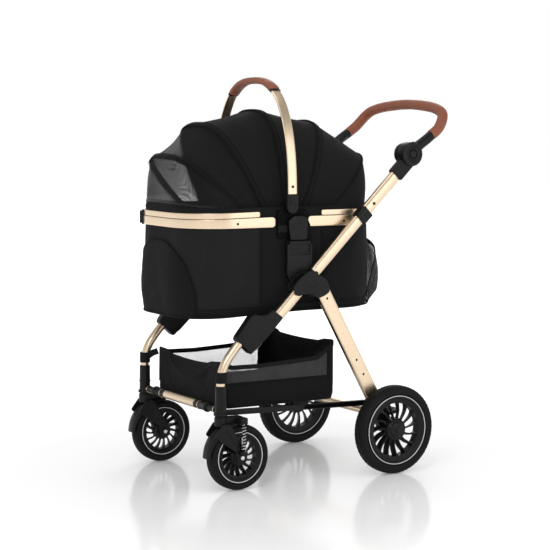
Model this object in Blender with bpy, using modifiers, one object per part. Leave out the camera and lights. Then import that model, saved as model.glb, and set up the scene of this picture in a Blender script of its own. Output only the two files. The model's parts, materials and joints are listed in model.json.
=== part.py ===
"""A folding pet stroller with a lift-off soft carrier: metres, +Z up, front towards -Y, left side at +X."""

import math

import bmesh
import bpy
from mathutils import Matrix, Vector

# ---- driving dimensions ----
GAP = 0.0003  # kept between pieces that touch
SIDE_X = 0.2145  # middle plane of the side tubes
HUB = (-0.005, 0.560)  # (y, z) of the folding axis
TUBE_ANGLE = math.radians(44.3)  # slope of the handle line
LEG_ANGLE = math.radians(-60.5)  # slope of the rear legs

LOWER_TUBE = (0.0137, 0.0087)  # half height and half width of its oval
UPPER_TUBE = (0.0155, 0.0105)
TUBE_WALL = 0.0014
LOWER_TUBE_RUN = (0.034, 0.265)  # from and to, along the handle line from the hub
UPPER_TUBE_RUN = (0.224, 0.368)
FRONT_TUBE_RUN = (0.056, 0.265)
FRONT_TUBE = (0.0145, 0.0100)
REAR_LEG = (0.0190, 0.0090)
REAR_LEG_RUN = (0.030, 0.405)
HANDLE_PIVOT = (0.304, 0.876)

HANDLEBAR_LEFT = [  # its centreline from the left joint to the middle
    (0.1920, 0.306, 0.8775), (0.1925, 0.345, 0.9010), (0.2050, 0.384, 0.9260), (0.2030, 0.415, 0.9490),
    (0.1880, 0.4385, 0.9800), (0.1600, 0.4475, 0.9960), (0.1000, 0.4540, 1.0070), (0.0, 0.4575, 1.0130),
]
HANDLEBAR_RADIUS = 0.0090
GRIP_RADIUS = 0.0145

LEG_Y = -0.289  # swivel axes of the front wheels
LEG_RADIUS = 0.0118
BOOT_TOP, BOOT_FOOT = 0.278, 0.2005
RAIL_PIVOT = (-0.262, 0.2035)
RAIL_X = (0.1940, 0.2015)
RAIL_PIN_RUN = 0.4225  # from the hub to the pin that runs in the rail's slot, along the rear leg
CROSSBAR_Z = 0.213
BASKET_FLOOR = 0.2095

REAR_AXLE = (0.238, 0.122)  # (y, z) of the rear wheels
AXLE_TUBE = (0.2235, 0.158)
REAR_WHEEL_X, FRONT_WHEEL_X = 0.252, SIDE_X
REAR_RADIUS, REAR_WIDTH, REAR_RING = 0.122, 0.042, 0.0900
FRONT_RADIUS, FRONT_WIDTH, FRONT_RING = 0.0875, 0.038, 0.0623
CASTER_TRAIL = 0.051
SPOKES = 8
SPOKE_TWIST = math.radians(32)

CARRIER_Y = -0.0525
TUB_HALF = (0.181, 0.300)  # half width and half length
TUB_CORNER = 0.125
TUB_Z = (0.455, 0.735)
TUB_WALL = 0.004
RIM_PROUD = 0.0055
RIM_Z = (0.684, 0.7175, 0.7330)
RIM_FRONT_ENDS = (-0.108, -0.155)  # where the lower and the upper band stop
RIM_REAR_ENDS = (-0.004, 0.039)

BOW_PIVOT = (-0.065, 0.600)
BOWS = (  # angle from +Y, height, corner exponent, half width: front to back
    (136.0, 0.386, 3.3, 0.1605),
    (116.5, 0.395, 3.1, 0.1637),
    (90.8, 0.392, 2.65, 0.1669),
    (65.0, 0.399, 2.5, 0.1701),
)
BACK_BOW = (41.0, 0.4185, 2.9, 0.1701)
BOW_STRIP = (0.0080, 0.0024)
CANOPY_FOOT_Z = 0.7385
PANEL_STEPS = 18  # spans across each fabric panel

CARRY_PIVOT = CARRY_Y, CARRY_Z = (-0.062, 0.737)
CARRY_HEIGHT = 0.337  # of its arch above the pivots
CARRY_HALF_WIDTH = 0.196
CARRY_BAND = (0.028, 0.0060)
CARRY_EXPONENT = 2.55
CARRY_ARCH_FOOT = 0.030  # above the pivots, where the arch meets its moulded ends

SOFT_SHEET = 0.002

SIDES = ((1, "left"), (-1, "right"))

parts = helpers = None
materials = {}


# ---- scene and materials ----
def clear_scene():
    for obj in list(bpy.data.objects):
        bpy.data.objects.remove(obj, do_unlink=True)


def collection(name):
    made = bpy.data.collections.new(name)
    bpy.context.scene.collection.children.link(made)
    return made


def material(name, colour, roughness, metallic=0.0):
    made = bpy.data.materials.new(name)
    made.use_nodes = True
    shader = made.node_tree.nodes["Principled BSDF"]
    shader.inputs["Base Color"].default_value = (*colour, 1.0)
    shader.inputs["Roughness"].default_value = roughness
    shader.inputs["Metallic"].default_value = metallic
    materials[name] = made


def make_materials():
    material("champagne_metal", (0.80, 0.56, 0.36), 0.30, 1.0)
    material("black_plastic", (0.018, 0.018, 0.019), 0.45)
    material("black_rubber", (0.012, 0.012, 0.012), 0.75)
    material("brown_leather", (0.24, 0.075, 0.035), 0.55)
    material("black_fabric", (0.014, 0.014, 0.015), 0.90)
    material("grey_mesh", (0.12, 0.12, 0.12), 0.85)
    material("steel", (0.62, 0.62, 0.63), 0.30, 1.0)


# ---- shapes ----
def add_mesh(name, mesh, finish):
    obj = bpy.data.objects.new(name, mesh)
    parts.objects.link(obj)
    mesh.materials.clear()
    mesh.materials.append(materials[finish])
    mesh.shade_smooth()
    mesh.set_sharp_from_angle(angle=math.radians(35))
    return obj


def add_bmesh(name, shape, finish, matrix=None):
    if matrix is not None:
        shape.transform(matrix)
    bmesh.ops.recalc_face_normals(shape, faces=shape.faces)
    if shape.calc_volume(signed=True) < 0:
        bmesh.ops.reverse_faces(shape, faces=shape.faces)
    mesh = bpy.data.meshes.new(name)
    shape.to_mesh(mesh)
    shape.free()
    return add_mesh(name, mesh, finish)


def curve_to_mesh(name, curve, finish, matrix):
    """The evaluated mesh of a curve, its caps welded to its sides."""
    holder = bpy.data.objects.new(name, curve)
    parts.objects.link(holder)
    graph = bpy.context.evaluated_depsgraph_get()
    made = bpy.data.meshes.new_from_object(holder.evaluated_get(graph))
    bpy.data.objects.remove(holder, do_unlink=True)
    shape = bmesh.new()
    shape.from_mesh(made)
    bmesh.ops.remove_doubles(shape, verts=shape.verts, dist=0.00001)
    return add_bmesh(name, shape, finish, matrix)


def axes_matrix(x_axis, y_axis, z_axis, origin=(0, 0, 0)):
    made = Matrix((x_axis, y_axis, z_axis)).transposed().to_4x4()
    made.translation = Vector(origin)
    return made


def plate(name, outline, thickness, matrix, finish):
    """A flat outline in the matrix's XY plane, extruded evenly to both sides of it."""
    curve = bpy.data.curves.new(name, "CURVE")
    curve.dimensions = "2D"
    curve.fill_mode = "BOTH"
    curve.extrude = thickness / 2
    spline = curve.splines.new("POLY")
    spline.points.add(len(outline) - 1)
    for point, (u, v) in zip(spline.points, outline):
        point.co = (u, v, 0, 1)
    spline.use_cyclic_u = True
    return curve_to_mesh(name, curve, finish, matrix)


def side_plate(name, outline, x_from, x_to, finish):
    """An outline of (y, z) points, extruded along X."""
    origin = ((x_from + x_to) / 2, 0, 0)
    matrix = axes_matrix((0, 1, 0), (0, 0, 1), (1, 0, 0), origin)
    return plate(name, outline, abs(x_to - x_from), matrix, finish)


def front_plate(name, outline, y_from, y_to, finish):
    """An outline of (x, z) points, extruded along Y."""
    origin = (0, (y_from + y_to) / 2, 0)
    matrix = axes_matrix((1, 0, 0), (0, 0, 1), (0, -1, 0), origin)
    return plate(name, outline, abs(y_to - y_from), matrix, finish)


def flat_plate(name, outline, z_from, z_to, finish):
    """An outline of (x, y) points, extruded along Z."""
    return plate(name, outline, z_to - z_from, Matrix.Translation((0, 0, (z_from + z_to) / 2)), finish)


def rod(name, start, end, radius, finish, segments=16):
    """A cylinder from one point to another."""
    start, end = Vector(start), Vector(end)
    shape = bmesh.new()
    bmesh.ops.create_cone(
        shape, cap_ends=True, segments=segments, radius1=radius, radius2=radius, depth=(end - start).length
    )
    turn = (end - start).to_track_quat("Z", "Y").to_matrix().to_4x4()
    return add_bmesh(name, shape, finish, Matrix.Translation((start + end) / 2) @ turn)


def across(name, centre, radius, x_from, x_to, finish, segments=16):
    """A cylinder along X round a (y, z) centre."""
    return rod(name, (x_from, *centre), (x_to, *centre), radius, finish, segments)


def oval_bar(name, x, start, end, half_height, half_width, finish, segments=20):
    """A straight oval bar in the plane of one side, between (y, z) points."""
    start, end = Vector((x, *start)), Vector((x, *end))
    along = (end - start).normalized()
    shape = bmesh.new()
    bmesh.ops.create_cone(
        shape, cap_ends=True, segments=segments, radius1=1, radius2=1, depth=(end - start).length
    )
    shape.transform(Matrix.Diagonal((half_width, half_height, 1, 1)))
    across_it = Vector((1, 0, 0))
    matrix = axes_matrix(across_it, along.cross(across_it), along, (start + end) / 2)
    return add_bmesh(name, shape, finish, matrix)


def box(name, low, high, finish):
    shape = bmesh.new()
    bmesh.ops.create_cube(shape, size=1)
    low, high = Vector(low), Vector(high)
    shape.transform(Matrix.Translation((low + high) / 2) @ Matrix.Diagonal((*(high - low), 1)))
    return add_bmesh(name, shape, finish)


def side_box(name, side, x_near, x_far, low, high, finish):
    """A box on one side, from x_near to x_far off the middle and between two (y, z) corners."""
    x_low, x_high = sorted((side * x_near, side * x_far))
    return box(name, (x_low, *low), (x_high, *high), finish)


def turned(name, profile, centre, finish, steps=32, axis="X", start=0.0):
    """A closed (distance along the axis, radius) profile, turned round the axis through centre."""
    shape = bmesh.new()
    ring = [shape.verts.new((radius, 0, along)) for along, radius in profile]
    edges = [shape.edges.new((ring[i - 1], ring[i])) for i in range(len(ring))]
    bmesh.ops.spin(
        shape,
        geom=ring + edges,
        cent=(0, 0, 0),
        axis=(0, 0, 1),
        angle=2 * math.pi,
        steps=steps,
        use_merge=True,
    )
    bmesh.ops.remove_doubles(shape, verts=shape.verts, dist=0.00001)
    matrix = Matrix.Rotation(start, 4, "Z")
    if axis == "X":
        matrix = axes_matrix((0, 1, 0), (0, 0, 1), (1, 0, 0)) @ matrix
    return add_bmesh(name, shape, finish, Matrix.Translation(centre) @ matrix)


def tube(name, points, radius, finish, resolution=3):
    """A round tube along a list of points."""
    curve = bpy.data.curves.new(name, "CURVE")
    curve.dimensions = "3D"
    curve.bevel_depth = radius
    curve.bevel_resolution = resolution
    curve.use_fill_caps = True
    spline = curve.splines.new("POLY")
    spline.points.add(len(points) - 1)
    for point, place in zip(spline.points, points):
        point.co = (*place, 1)
    return curve_to_mesh(name, curve, finish, Matrix.Identity(4))


def sheet(name, rows, thickness, finish):
    """A grid of points made solid towards its back, as a sewn panel."""
    shape = bmesh.new()
    grid = [[shape.verts.new(point) for point in row] for row in rows]
    for lower, upper in zip(grid, grid[1:]):
        for i in range(len(lower) - 1):
            shape.faces.new((lower[i], lower[i + 1], upper[i + 1], upper[i]))
    obj = add_bmesh(name, shape, finish)
    solid = obj.modifiers.new("thickness", "SOLIDIFY")
    solid.thickness = thickness
    solid.offset = 0
    return obj


def combine(obj, operation, *others):
    """Joins others to obj, or cuts them from it, and keeps them as hidden helpers."""
    for other in others:
        boolean = obj.modifiers.new(f"{operation.lower()}_{other.name}", "BOOLEAN")
        boolean.operation = operation
        boolean.solver = "EXACT"
        boolean.object = other
        other.hide_render = True
        other.display_type = "WIRE"
        parts.objects.unlink(other)
        helpers.objects.link(other)
    return obj


def join(obj, *others):
    return combine(obj, "UNION", *others)


def cut(obj, *others):
    return combine(obj, "DIFFERENCE", *others)


# ---- points ----
def from_hub(angle, distance, shift=0.0):
    """The (y, z) point this far from the hub, moved square to the line by shift."""
    return (
        HUB[0] + distance * math.cos(angle) - shift * math.sin(angle),
        HUB[1] + distance * math.sin(angle) + shift * math.cos(angle),
    )


def smooth(points, per_span=6):
    """Catmull-Rom points through the given ones."""
    points = [Vector(p) for p in points]
    padded = [2 * points[0] - points[1], *points, 2 * points[-1] - points[-2]]
    found = []
    for a, b, c, d in zip(padded, padded[1:], padded[2:], padded[3:]):
        square, cube = 2 * a - 5 * b + 4 * c - d, 3 * b - a - 3 * c + d
        for i in range(per_span):
            t = i / per_span
            found.append(0.5 * (2 * b + (c - a) * t + square * t**2 + cube * t**3))
    return [*found, points[-1]]


def rounded(corners, radius, steps=4):
    """A polygon with its corners rounded."""
    found = []
    for i, corner in enumerate(corners):
        corner = Vector(corner)
        before = (Vector(corners[i - 1]) - corner).normalized()
        after = (Vector(corners[(i + 1) % len(corners)]) - corner).normalized()
        half = before.angle(after) / 2
        back = radius / math.tan(half)
        centre = corner + (before + after).normalized() * (radius / math.sin(half))
        first = corner + before * back - centre
        last = corner + after * back - centre
        turn = first.angle_signed(last)
        for step in range(steps + 1):
            angle = -turn * step / steps
            found.append(
                (
                    centre.x + first.x * math.cos(angle) - first.y * math.sin(angle),
                    centre.y + first.x * math.sin(angle) + first.y * math.cos(angle),
                )
            )
    return found


def rounded_rectangle(low, high, radius, steps=4):
    return rounded([low, (high[0], low[1]), high, (low[0], high[1])], radius, steps)


def carrier_plan(proud=0.0, steps=8):
    """The carrier's outline from above, this far outside the tub."""
    half_width, half_length = TUB_HALF
    return rounded_rectangle(
        (-half_width - proud, CARRIER_Y - half_length - proud),
        (half_width + proud, CARRIER_Y + half_length + proud),
        TUB_CORNER + proud,
        steps,
    )


def superarch(half_width, height, exponent, steps, start=0.0):
    """(x, s) points of an arch from its +X foot over the top to its -X foot, starting at height start."""
    first = math.asin(min(1.0, (start / height) ** (exponent / 2)))
    found = []
    for i in range(steps + 1):
        t = first + (math.pi - 2 * first) * i / steps
        x = math.copysign(abs(math.cos(t)) ** (2 / exponent), math.cos(t)) * half_width
        found.append((x, height * math.sin(t) ** (2 / exponent)))
    return found


# ---- frame ----
def make_hub(side, tag):
    """Both cheeks, the pivot pin between them and the socket that the carrier stands in: one moulding."""
    finish = "black_plastic"
    outline = rounded([(-0.074, 0.536), (-0.010, 0.590), (0.030, 0.590),
                       (0.052, 0.535), (0.006, 0.492), (-0.030, 0.492)], 0.012)
    outer = side_plate(f"hub_{tag}", outline, side * 0.2262, side * 0.2345, finish)
    inner = side_plate(f"hub_cheek_{tag}", outline, side * 0.1990, side * 0.2036, finish)
    pin = across(f"hub_pin_{tag}", HUB, 0.0070, side * 0.2010, side * 0.2300, finish)
    socket = side_plate(
        f"adaptor_socket_{tag}",
        rounded([(-0.079, 0.560), (-0.079, 0.645), (0.006, 0.645),
                 (0.006, 0.520), (-0.045, 0.520)], 0.004, 2),
        side * 0.1845,
        side * 0.2010,
        finish,
    )
    slot = side_box(f"socket_slot_{tag}", side, 0.1890, 0.1972, (-0.0560, 0.600), (-0.0180, 0.700), finish)
    cut(join(outer, inner, pin, socket), slot)


def make_front_frame(side, tag):
    x = side * SIDE_X
    oval_bar(f"front_tube_{tag}", x, from_hub(TUBE_ANGLE + math.pi, FRONT_TUBE_RUN[0]),
             from_hub(TUBE_ANGLE + math.pi, FRONT_TUBE_RUN[1]), *FRONT_TUBE, "champagne_metal")
    # The knuckle clamps the end of the front tube and the top of the leg, one above the other.
    knuckle = side_plate(
        f"knuckle_{tag}",
        rounded([(-0.104, 0.472), (-0.135, 0.432), (-0.163, 0.398), (-0.199, 0.350), (-0.247, 0.392),
                 (-0.196, 0.466), (-0.180, 0.466), (-0.158, 0.445), (-0.124, 0.487)][::-1], 0.004, 2),
        side * 0.2020, side * 0.2270, "black_plastic",
    )
    along = math.radians(54.5)
    top = Vector((-0.187, 0.452))
    down = -Vector((math.cos(along), math.sin(along)))
    leg_path = [top, top + 0.075 * down, (-0.2715, 0.3430), (-0.2860, 0.3150),
                (LEG_Y, 0.290), (LEG_Y, BOOT_TOP - 0.010)]
    tube(f"front_leg_{tag}", smooth([(x, *p) for p in leg_path], 3), LEG_RADIUS, "champagne_metal", 3)
    pocket = oval_bar(f"knuckle_tube_pocket_{tag}", x, from_hub(TUBE_ANGLE + math.pi, 0.02),
                      from_hub(TUBE_ANGLE + math.pi, FRONT_TUBE_RUN[1] + GAP),
                      FRONT_TUBE[0] + GAP, FRONT_TUBE[1] + GAP, "black_plastic")
    start, end = top - GAP * down, top + 0.11 * down
    leg_pocket = rod(f"knuckle_leg_pocket_{tag}", (x, *start), (x, *end), LEG_RADIUS + 0.0011,
                     "black_plastic", 20)
    cut(knuckle, pocket, leg_pocket)
    turned(
        f"leg_boot_{tag}",
        [(BOOT_FOOT, 0.0055), (BOOT_FOOT, 0.0185), (0.2060, 0.0185), (0.2085, 0.0150),
         (BOOT_TOP - 0.004, 0.0150), (BOOT_TOP, 0.0140), (BOOT_TOP, 0.0123), (BOOT_TOP - 0.011, 0.0123),
         (BOOT_TOP - 0.011, 0.0055)],
        (x, LEG_Y, 0), "black_plastic", 18, "Z",
    )


def make_crossbar():
    """The black bar between the legs' boots, thin in the middle where the gold sleeve covers it."""
    reach = SIDE_X - 0.0185 - GAP
    half = [(reach, 0.0085), (0.150, 0.0085), (0.148, 0.0135), (0.142, 0.0135), (0.140, 0.0115),
            (0.0855, 0.0115), (0.0855, 0.0075)]
    profile = [(x, r) for x, r in half] + [(-x, r) for x, r in reversed(half)]
    bore = [(-reach, 0.0030), (reach, 0.0030)]
    turned("front_crossbar", profile + bore, (0, LEG_Y, CROSSBAR_Z), "black_plastic", 12)
    sleeve = 0.0855 - GAP
    turned("crossbar_sleeve", [(sleeve, 0.0108), (-sleeve, 0.0108), (-sleeve, 0.0078), (sleeve, 0.0078)],
           (0, LEG_Y, CROSSBAR_Z), "champagne_metal", 16)


def make_basket():
    """An open fabric tray, lower at its front than at its back."""
    wall = 0.0025
    low, high = (-0.186, -0.2725), (0.186, 0.098)
    body = flat_plate("basket", rounded_rectangle(low, high, 0.030, 4), BASKET_FLOOR, 0.3700, "black_fabric")
    inside = flat_plate(
        "basket_inside",
        rounded_rectangle((low[0] + wall, low[1] + wall), (high[0] - wall, high[1] - wall), 0.030 - wall, 4),
        BASKET_FLOOR + 2 * wall, 0.400, "black_fabric",
    )
    top_edge = side_plate(
        "basket_top_edge",
        [(-0.300, 0.328), (-0.255, 0.326), (-0.150, 0.318), (-0.060, 0.326), (0.060, 0.360), (0.099, 0.369),
         (0.140, 0.369), (0.140, 0.42), (-0.300, 0.42)],
        -0.25, 0.25, "black_fabric",
    )
    cut(body, inside, top_edge)


# ---- handle ----
def make_handle(side, tag):
    x = side * SIDE_X
    lower = oval_bar(f"lower_tube_{tag}", x, from_hub(TUBE_ANGLE, LOWER_TUBE_RUN[0]),
                     from_hub(TUBE_ANGLE, LOWER_TUBE_RUN[1]), *LOWER_TUBE, "champagne_metal")
    neck_ends = [from_hub(TUBE_ANGLE, *at)
                 for at in ((0.0, -0.0125), (0.050, -0.0115), (0.050, 0.0115), (0.0, 0.0125))]
    neck = side_plate(f"lower_tube_neck_{tag}", neck_ends, side * 0.2065, side * 0.2145, "champagne_metal")
    eye = across(f"lower_tube_eye_{tag}", HUB, 0.0150, side * 0.2068, side * 0.2142, "champagne_metal", 20)
    bore = across(f"lower_tube_bore_{tag}", HUB, 0.0074, side * 0.20, side * 0.23, "champagne_metal", 16)
    cut(join(lower, neck, eye), bore)

    upper = oval_bar(f"upper_tube_{tag}", x, from_hub(TUBE_ANGLE, UPPER_TUBE_RUN[0]),
                     from_hub(TUBE_ANGLE, UPPER_TUBE_RUN[1]), *UPPER_TUBE, "champagne_metal")
    hollow = oval_bar(f"upper_tube_hollow_{tag}", x, from_hub(TUBE_ANGLE, 0.20), from_hub(TUBE_ANGLE, 0.40),
                      UPPER_TUBE[0] - TUBE_WALL, UPPER_TUBE[1] - TUBE_WALL, "champagne_metal")
    cut(upper, hollow)

    collar = side_plate(
        f"collar_{tag}",
        rounded([from_hub(TUBE_ANGLE, *at) for at in (
            (0.200, -0.0175), (0.236, -0.0195), (0.236, 0.0185), (0.200, 0.0185))], 0.003, 2),
        side * 0.2030, side * 0.2275, "black_plastic",
    )
    wide = oval_bar(f"collar_seat_{tag}", x, from_hub(TUBE_ANGLE, UPPER_TUBE_RUN[0] - GAP),
                    from_hub(TUBE_ANGLE, 0.25), UPPER_TUBE[0] + GAP, UPPER_TUBE[1] + GAP, "black_plastic")
    narrow = oval_bar(f"collar_bore_{tag}", x, from_hub(TUBE_ANGLE, 0.19), from_hub(TUBE_ANGLE, 0.25),
                      LOWER_TUBE[0] + 2 * GAP, LOWER_TUBE[1] + 2 * GAP, "black_plastic")
    cut(collar, wide, narrow)

    # The bracket holds the round joint that tilts the handlebar.
    shank = side_plate(
        f"handle_bracket_{tag}",
        rounded([from_hub(TUBE_ANGLE, *at) for at in (
            (0.366, -0.0180), (0.440, -0.0180), (0.440, 0.0190), (0.366, 0.0190))], 0.006, 3),
        side * 0.2025, side * 0.2265, "black_plastic",
    )
    finish = "black_plastic"
    cheek = across(f"bracket_disc_{tag}", HANDLE_PIVOT, 0.0330, side * 0.2060, side * 0.2330, finish, 28)
    seat_end = from_hub(TUBE_ANGLE, UPPER_TUBE_RUN[1] + GAP)
    seat = oval_bar(f"bracket_seat_{tag}", x, from_hub(TUBE_ANGLE, 0.34), seat_end,
                    UPPER_TUBE[0] + GAP, UPPER_TUBE[1] + GAP, finish)
    button_bore = across(f"angle_button_bore_{tag}", HANDLE_PIVOT, 0.0125, side * 0.2280, side * 0.2400,
                         finish, 24)
    pin_bore = across(f"bracket_pin_bore_{tag}", HANDLE_PIVOT, 0.0065, side * 0.1950, side * 0.2075, finish)
    cut(join(shank, cheek), seat, button_bore, pin_bore)
    across(f"angle_button_{tag}", HANDLE_PIVOT, 0.0120, side * 0.2315, side * 0.2362, finish, 24)


def handlebar_path():
    """The U of the handlebar from its left joint to its right one."""
    return HANDLEBAR_LEFT + [(-x, y, z) for x, y, z in reversed(HANDLEBAR_LEFT[:-1])]


def make_handlebar():
    path = handlebar_path()
    bar_path = smooth(path, 2)
    bar = tube("handlebar_tube", bar_path, HANDLEBAR_RADIUS, "black_plastic", 2)
    for side, tag in SIDES:
        disc_ends, pin_ends = (side * 0.1845, side * 0.2000), (side * 0.19, side * 0.2056)
        disc = across(f"handlebar_disc_{tag}", HANDLE_PIVOT, 0.0300, *disc_ends, "black_plastic", 24)
        pin = across(f"handlebar_pivot_{tag}", HANDLE_PIVOT, 0.0060, *pin_ends, "black_plastic", 12)
        join(bar, disc, pin)
    grip_path = bar_path[4:-4]
    grip = tube("handlebar_grip", grip_path, GRIP_RADIUS, "brown_leather", 3)
    bore_path = [2 * grip_path[0] - grip_path[1], *grip_path, 2 * grip_path[-1] - grip_path[-2]]
    cut(grip, tube("grip_bore", bore_path, HANDLEBAR_RADIUS + 2 * GAP, "brown_leather", 2))


# ---- rear legs and lower frame ----
def rail_pin():
    return from_hub(LEG_ANGLE, RAIL_PIN_RUN)


def make_rear_leg(side, tag):
    x = side * SIDE_X
    leg = oval_bar(f"rear_leg_{tag}", x, from_hub(LEG_ANGLE, REAR_LEG_RUN[0]),
                   from_hub(LEG_ANGLE, REAR_LEG_RUN[1]), *REAR_LEG, "champagne_metal")
    neck_ends = [from_hub(LEG_ANGLE, *at)
                 for at in ((0.0, -0.0125), (0.050, -0.0150), (0.050, 0.0150), (0.0, 0.0125))]
    neck = side_plate(f"rear_leg_neck_{tag}", neck_ends, side * 0.2155, side * 0.2232, "champagne_metal")
    eye = across(f"rear_leg_eye_{tag}", HUB, 0.0150, side * 0.2158, side * 0.2228, "champagne_metal", 20)
    bore = across(f"rear_leg_bore_{tag}", HUB, 0.0074, side * 0.20, side * 0.23, "champagne_metal", 16)
    cut(join(leg, neck, eye), bore)


def make_rear_axle():
    """The cross tube, its end castings and the stub axles of the rear wheels."""
    reach = 0.2070
    axle = across("rear_axle", AXLE_TUBE, 0.0110, -reach, reach, "champagne_metal", 20)
    foot = [from_hub(LEG_ANGLE, REAR_LEG_RUN[1] + GAP, s) for s in (0.021, -0.021)]
    outline = rounded([*foot, (0.2180, 0.112), (0.2500, 0.106), (0.2560, 0.130)], 0.005, 2)
    for side, tag in SIDES:
        casting = side_plate(f"axle_casting_{tag}", outline, side * 0.2050, side * 0.2260, "black_plastic")
        pin_start = side * (RAIL_X[0] + 0.0005)
        pin = across(f"rail_pin_{tag}", rail_pin(), 0.0030, pin_start, side * 0.2100, "black_plastic", 12)
        stub = across(f"stub_axle_{tag}", REAR_AXLE, 0.0055, side * 0.2200, side * 0.2745, "black_plastic")
        join(axle, casting, pin, stub)


def make_brake():
    x_low, x_high = 0.150, 0.185
    ring = turned("brake_pedal", [(x_high, 0.0150), (x_low, 0.0150), (x_low, 0.0116), (x_high, 0.0116)],
                  (0, *AXLE_TUBE), "black_plastic", 20)
    y, z = AXLE_TUBE
    tread = rounded([(y + 0.0125, z + 0.0030), (y + 0.0125, z - 0.0050), (y + 0.052, z - 0.0100),
                     (y + 0.080, z - 0.0030), (y + 0.080, z + 0.0060), (y + 0.050, z - 0.0010)], 0.002, 2)
    pad = side_plate("brake_pad", tread, x_low - 0.008, x_high + 0.004, "black_plastic")
    join(ring, pad)


def make_basket_frame():
    """Two slotted side rails and the rod that joins them behind the front legs."""
    pivot, pin = Vector(RAIL_PIVOT), Vector(rail_pin())
    along = (pin - pivot).normalized()
    square = Vector((-along.y, along.x))
    front, back = pivot - 0.012 * along, pin + 0.014 * along
    half, slot_half = 0.0075 * square, 0.0050 * square
    outline = rounded([front - half, back - half, back + half, front + half], 0.005, 3)
    slot_start, slot_end = pin - 0.225 * along, pin + 0.0055 * along
    slot_outline = rounded([slot_start - slot_half, slot_end - slot_half,
                            slot_end + slot_half, slot_start + slot_half], 0.0045, 3)
    rails = []
    for side, tag in SIDES:
        rail = side_plate("basket_frame" if side > 0 else "basket_rail_right", outline,
                          side * RAIL_X[0], side * RAIL_X[1], "black_plastic")
        cut(rail, side_plate(f"rail_slot_{tag}", slot_outline, side * 0.185, side * 0.21, "black_plastic"))
        rails.append(rail)
    rod_across = across("basket_rod", RAIL_PIVOT, 0.0040, -0.198, 0.198, "black_plastic", 12)
    join(rails[0], rod_across, rails[1])


# ---- wheels ----
def make_wheel(name, centre, radius, width, ring_radius, bore):
    """A tyre, and a rim with flat spokes between its hub and its ring."""
    half = width / 2
    bed = ring_radius + 0.0030
    # The tyre is turned in flats, and stands on the middle of one: its corners lie outside its radius.
    flats = 32
    turn = math.pi / flats
    tread = radius / math.cos(turn)
    wall = [(0.70, 0.0), (1.00, 0.40), (0.80, 0.85), (0.35, 1.00)]
    profile = [(along * half, bed + out * (tread - bed)) for along, out in wall]
    profile += [(-along, out) for along, out in reversed(profile)]
    turned(f"{name}_tyre", profile, centre, "black_rubber", flats, start=turn)
    seat = bed - 2 * GAP
    inner = seat - 0.0075
    boss = 0.24 * ring_radius
    ring_profile = [(0.64 * half, seat), (0.60 * half, inner), (-0.60 * half, inner), (-0.64 * half, seat)]
    rim = turned(f"{name}_rim", ring_profile, centre, "black_plastic", flats, start=turn)
    boss_profile = [(0.70 * half, bore), (0.65 * half, boss), (-0.65 * half, boss), (-0.70 * half, bore)]
    pieces = [turned(f"{name}_boss", boss_profile, centre, "black_plastic", 16)]
    for i in range(SPOKES):
        turn = 2 * math.pi * i / SPOKES
        out = Vector((0, math.cos(turn), math.sin(turn)))
        flat = Matrix.Rotation(SPOKE_TWIST, 3, out) @ Vector((1, 0, 0))
        matrix = axes_matrix(flat, out.cross(flat), out, Vector(centre) + out * (boss + inner) / 2)
        spoke = bmesh.new()
        bmesh.ops.create_cube(spoke, size=1)
        spoke.transform(Matrix.Diagonal((0.75 * half, 0.0026, inner - boss + 0.005, 1)))
        pieces.append(add_bmesh(f"{name}_spoke_{i}", spoke, "black_plastic", matrix))
    join(rim, *pieces)


def make_caster(side, tag):
    """A swivelling fork with its mudguard, its axle, and the spring behind its head."""
    x = side * FRONT_WHEEL_X
    axle = (LEG_Y + CASTER_TRAIL, FRONT_RADIUS)
    head = rod(f"caster_fork_{tag}", (x, LEG_Y, 0.1710), (x, LEG_Y, 0.1995), 0.0165, "black_plastic", 16)
    stem = rod(f"caster_stem_{tag}", (x, LEG_Y, 0.190), (x, LEG_Y, 0.2360), 0.0050, "black_plastic", 12)
    lobe = box(f"caster_lobe_{tag}", (x - 0.0105, LEG_Y, 0.1790), (x + 0.0105, LEG_Y + 0.062, 0.1950),
               "black_plastic")
    guard_from, guard_to = math.radians(95), math.radians(172)
    steps = 6
    angles = [guard_from + (guard_to - guard_from) * i / steps for i in range(steps + 1)]
    guard_outline = [(axle[0] + r * math.cos(a), axle[1] + r * math.sin(a))
                     for r, run in ((0.0965, angles), (0.0920, angles[::-1])) for a in run]
    guard = side_plate(f"mudguard_{tag}", guard_outline, x - 0.0265, x + 0.0265, "black_plastic")
    spring_low, spring_high = 0.1060, 0.1790
    seats = [
        side_box(f"spring_{where}_{tag}", side, FRONT_WHEEL_X + inner, FRONT_WHEEL_X + 0.0405,
                 (LEG_Y + 0.040, low), (LEG_Y + 0.060, high), "black_plastic")
        for where, inner, low, high in (("top", 0.0050, spring_high, 0.1940),
                                        ("foot", 0.0230, 0.0990, spring_low))
    ]
    pieces = [stem, lobe, guard, *seats]
    arm = rounded([(LEG_Y - 0.030, 0.1480), (LEG_Y + 0.004, 0.1780), (axle[0] + 0.012, 0.0960),
                   (axle[0] + 0.010, 0.0770), (axle[0] - 0.012, 0.0770)][::-1], 0.006, 2)
    for inner, outer, which in ((0.0222, 0.0262, "outer"), (-0.0262, -0.0222, "inner")):
        ends = (x + side * inner, x + side * outer)
        pieces.append(side_plate(f"caster_arm_{which}_{tag}", arm, *ends, "black_plastic"))
    pieces.append(across(f"caster_axle_{tag}", axle, 0.0040, x - 0.0285, x + 0.0285, "black_plastic", 12))
    join(head, *pieces)
    turns, sides, wire, coil = 4, 7, 0.0011, 0.0052
    low, high = spring_low + GAP + wire, spring_high - GAP - wire
    middle = Vector((x + side * 0.0338, LEG_Y + 0.050, low))
    points = []
    for i in range(turns * sides + 1):
        angle = 2 * math.pi * i / sides
        rise = (high - low) * i / (turns * sides)
        points.append(middle + Vector((coil * math.cos(angle), coil * math.sin(angle), rise)))
    tube(f"caster_spring_{tag}", points, wire, "steel", 2)


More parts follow.
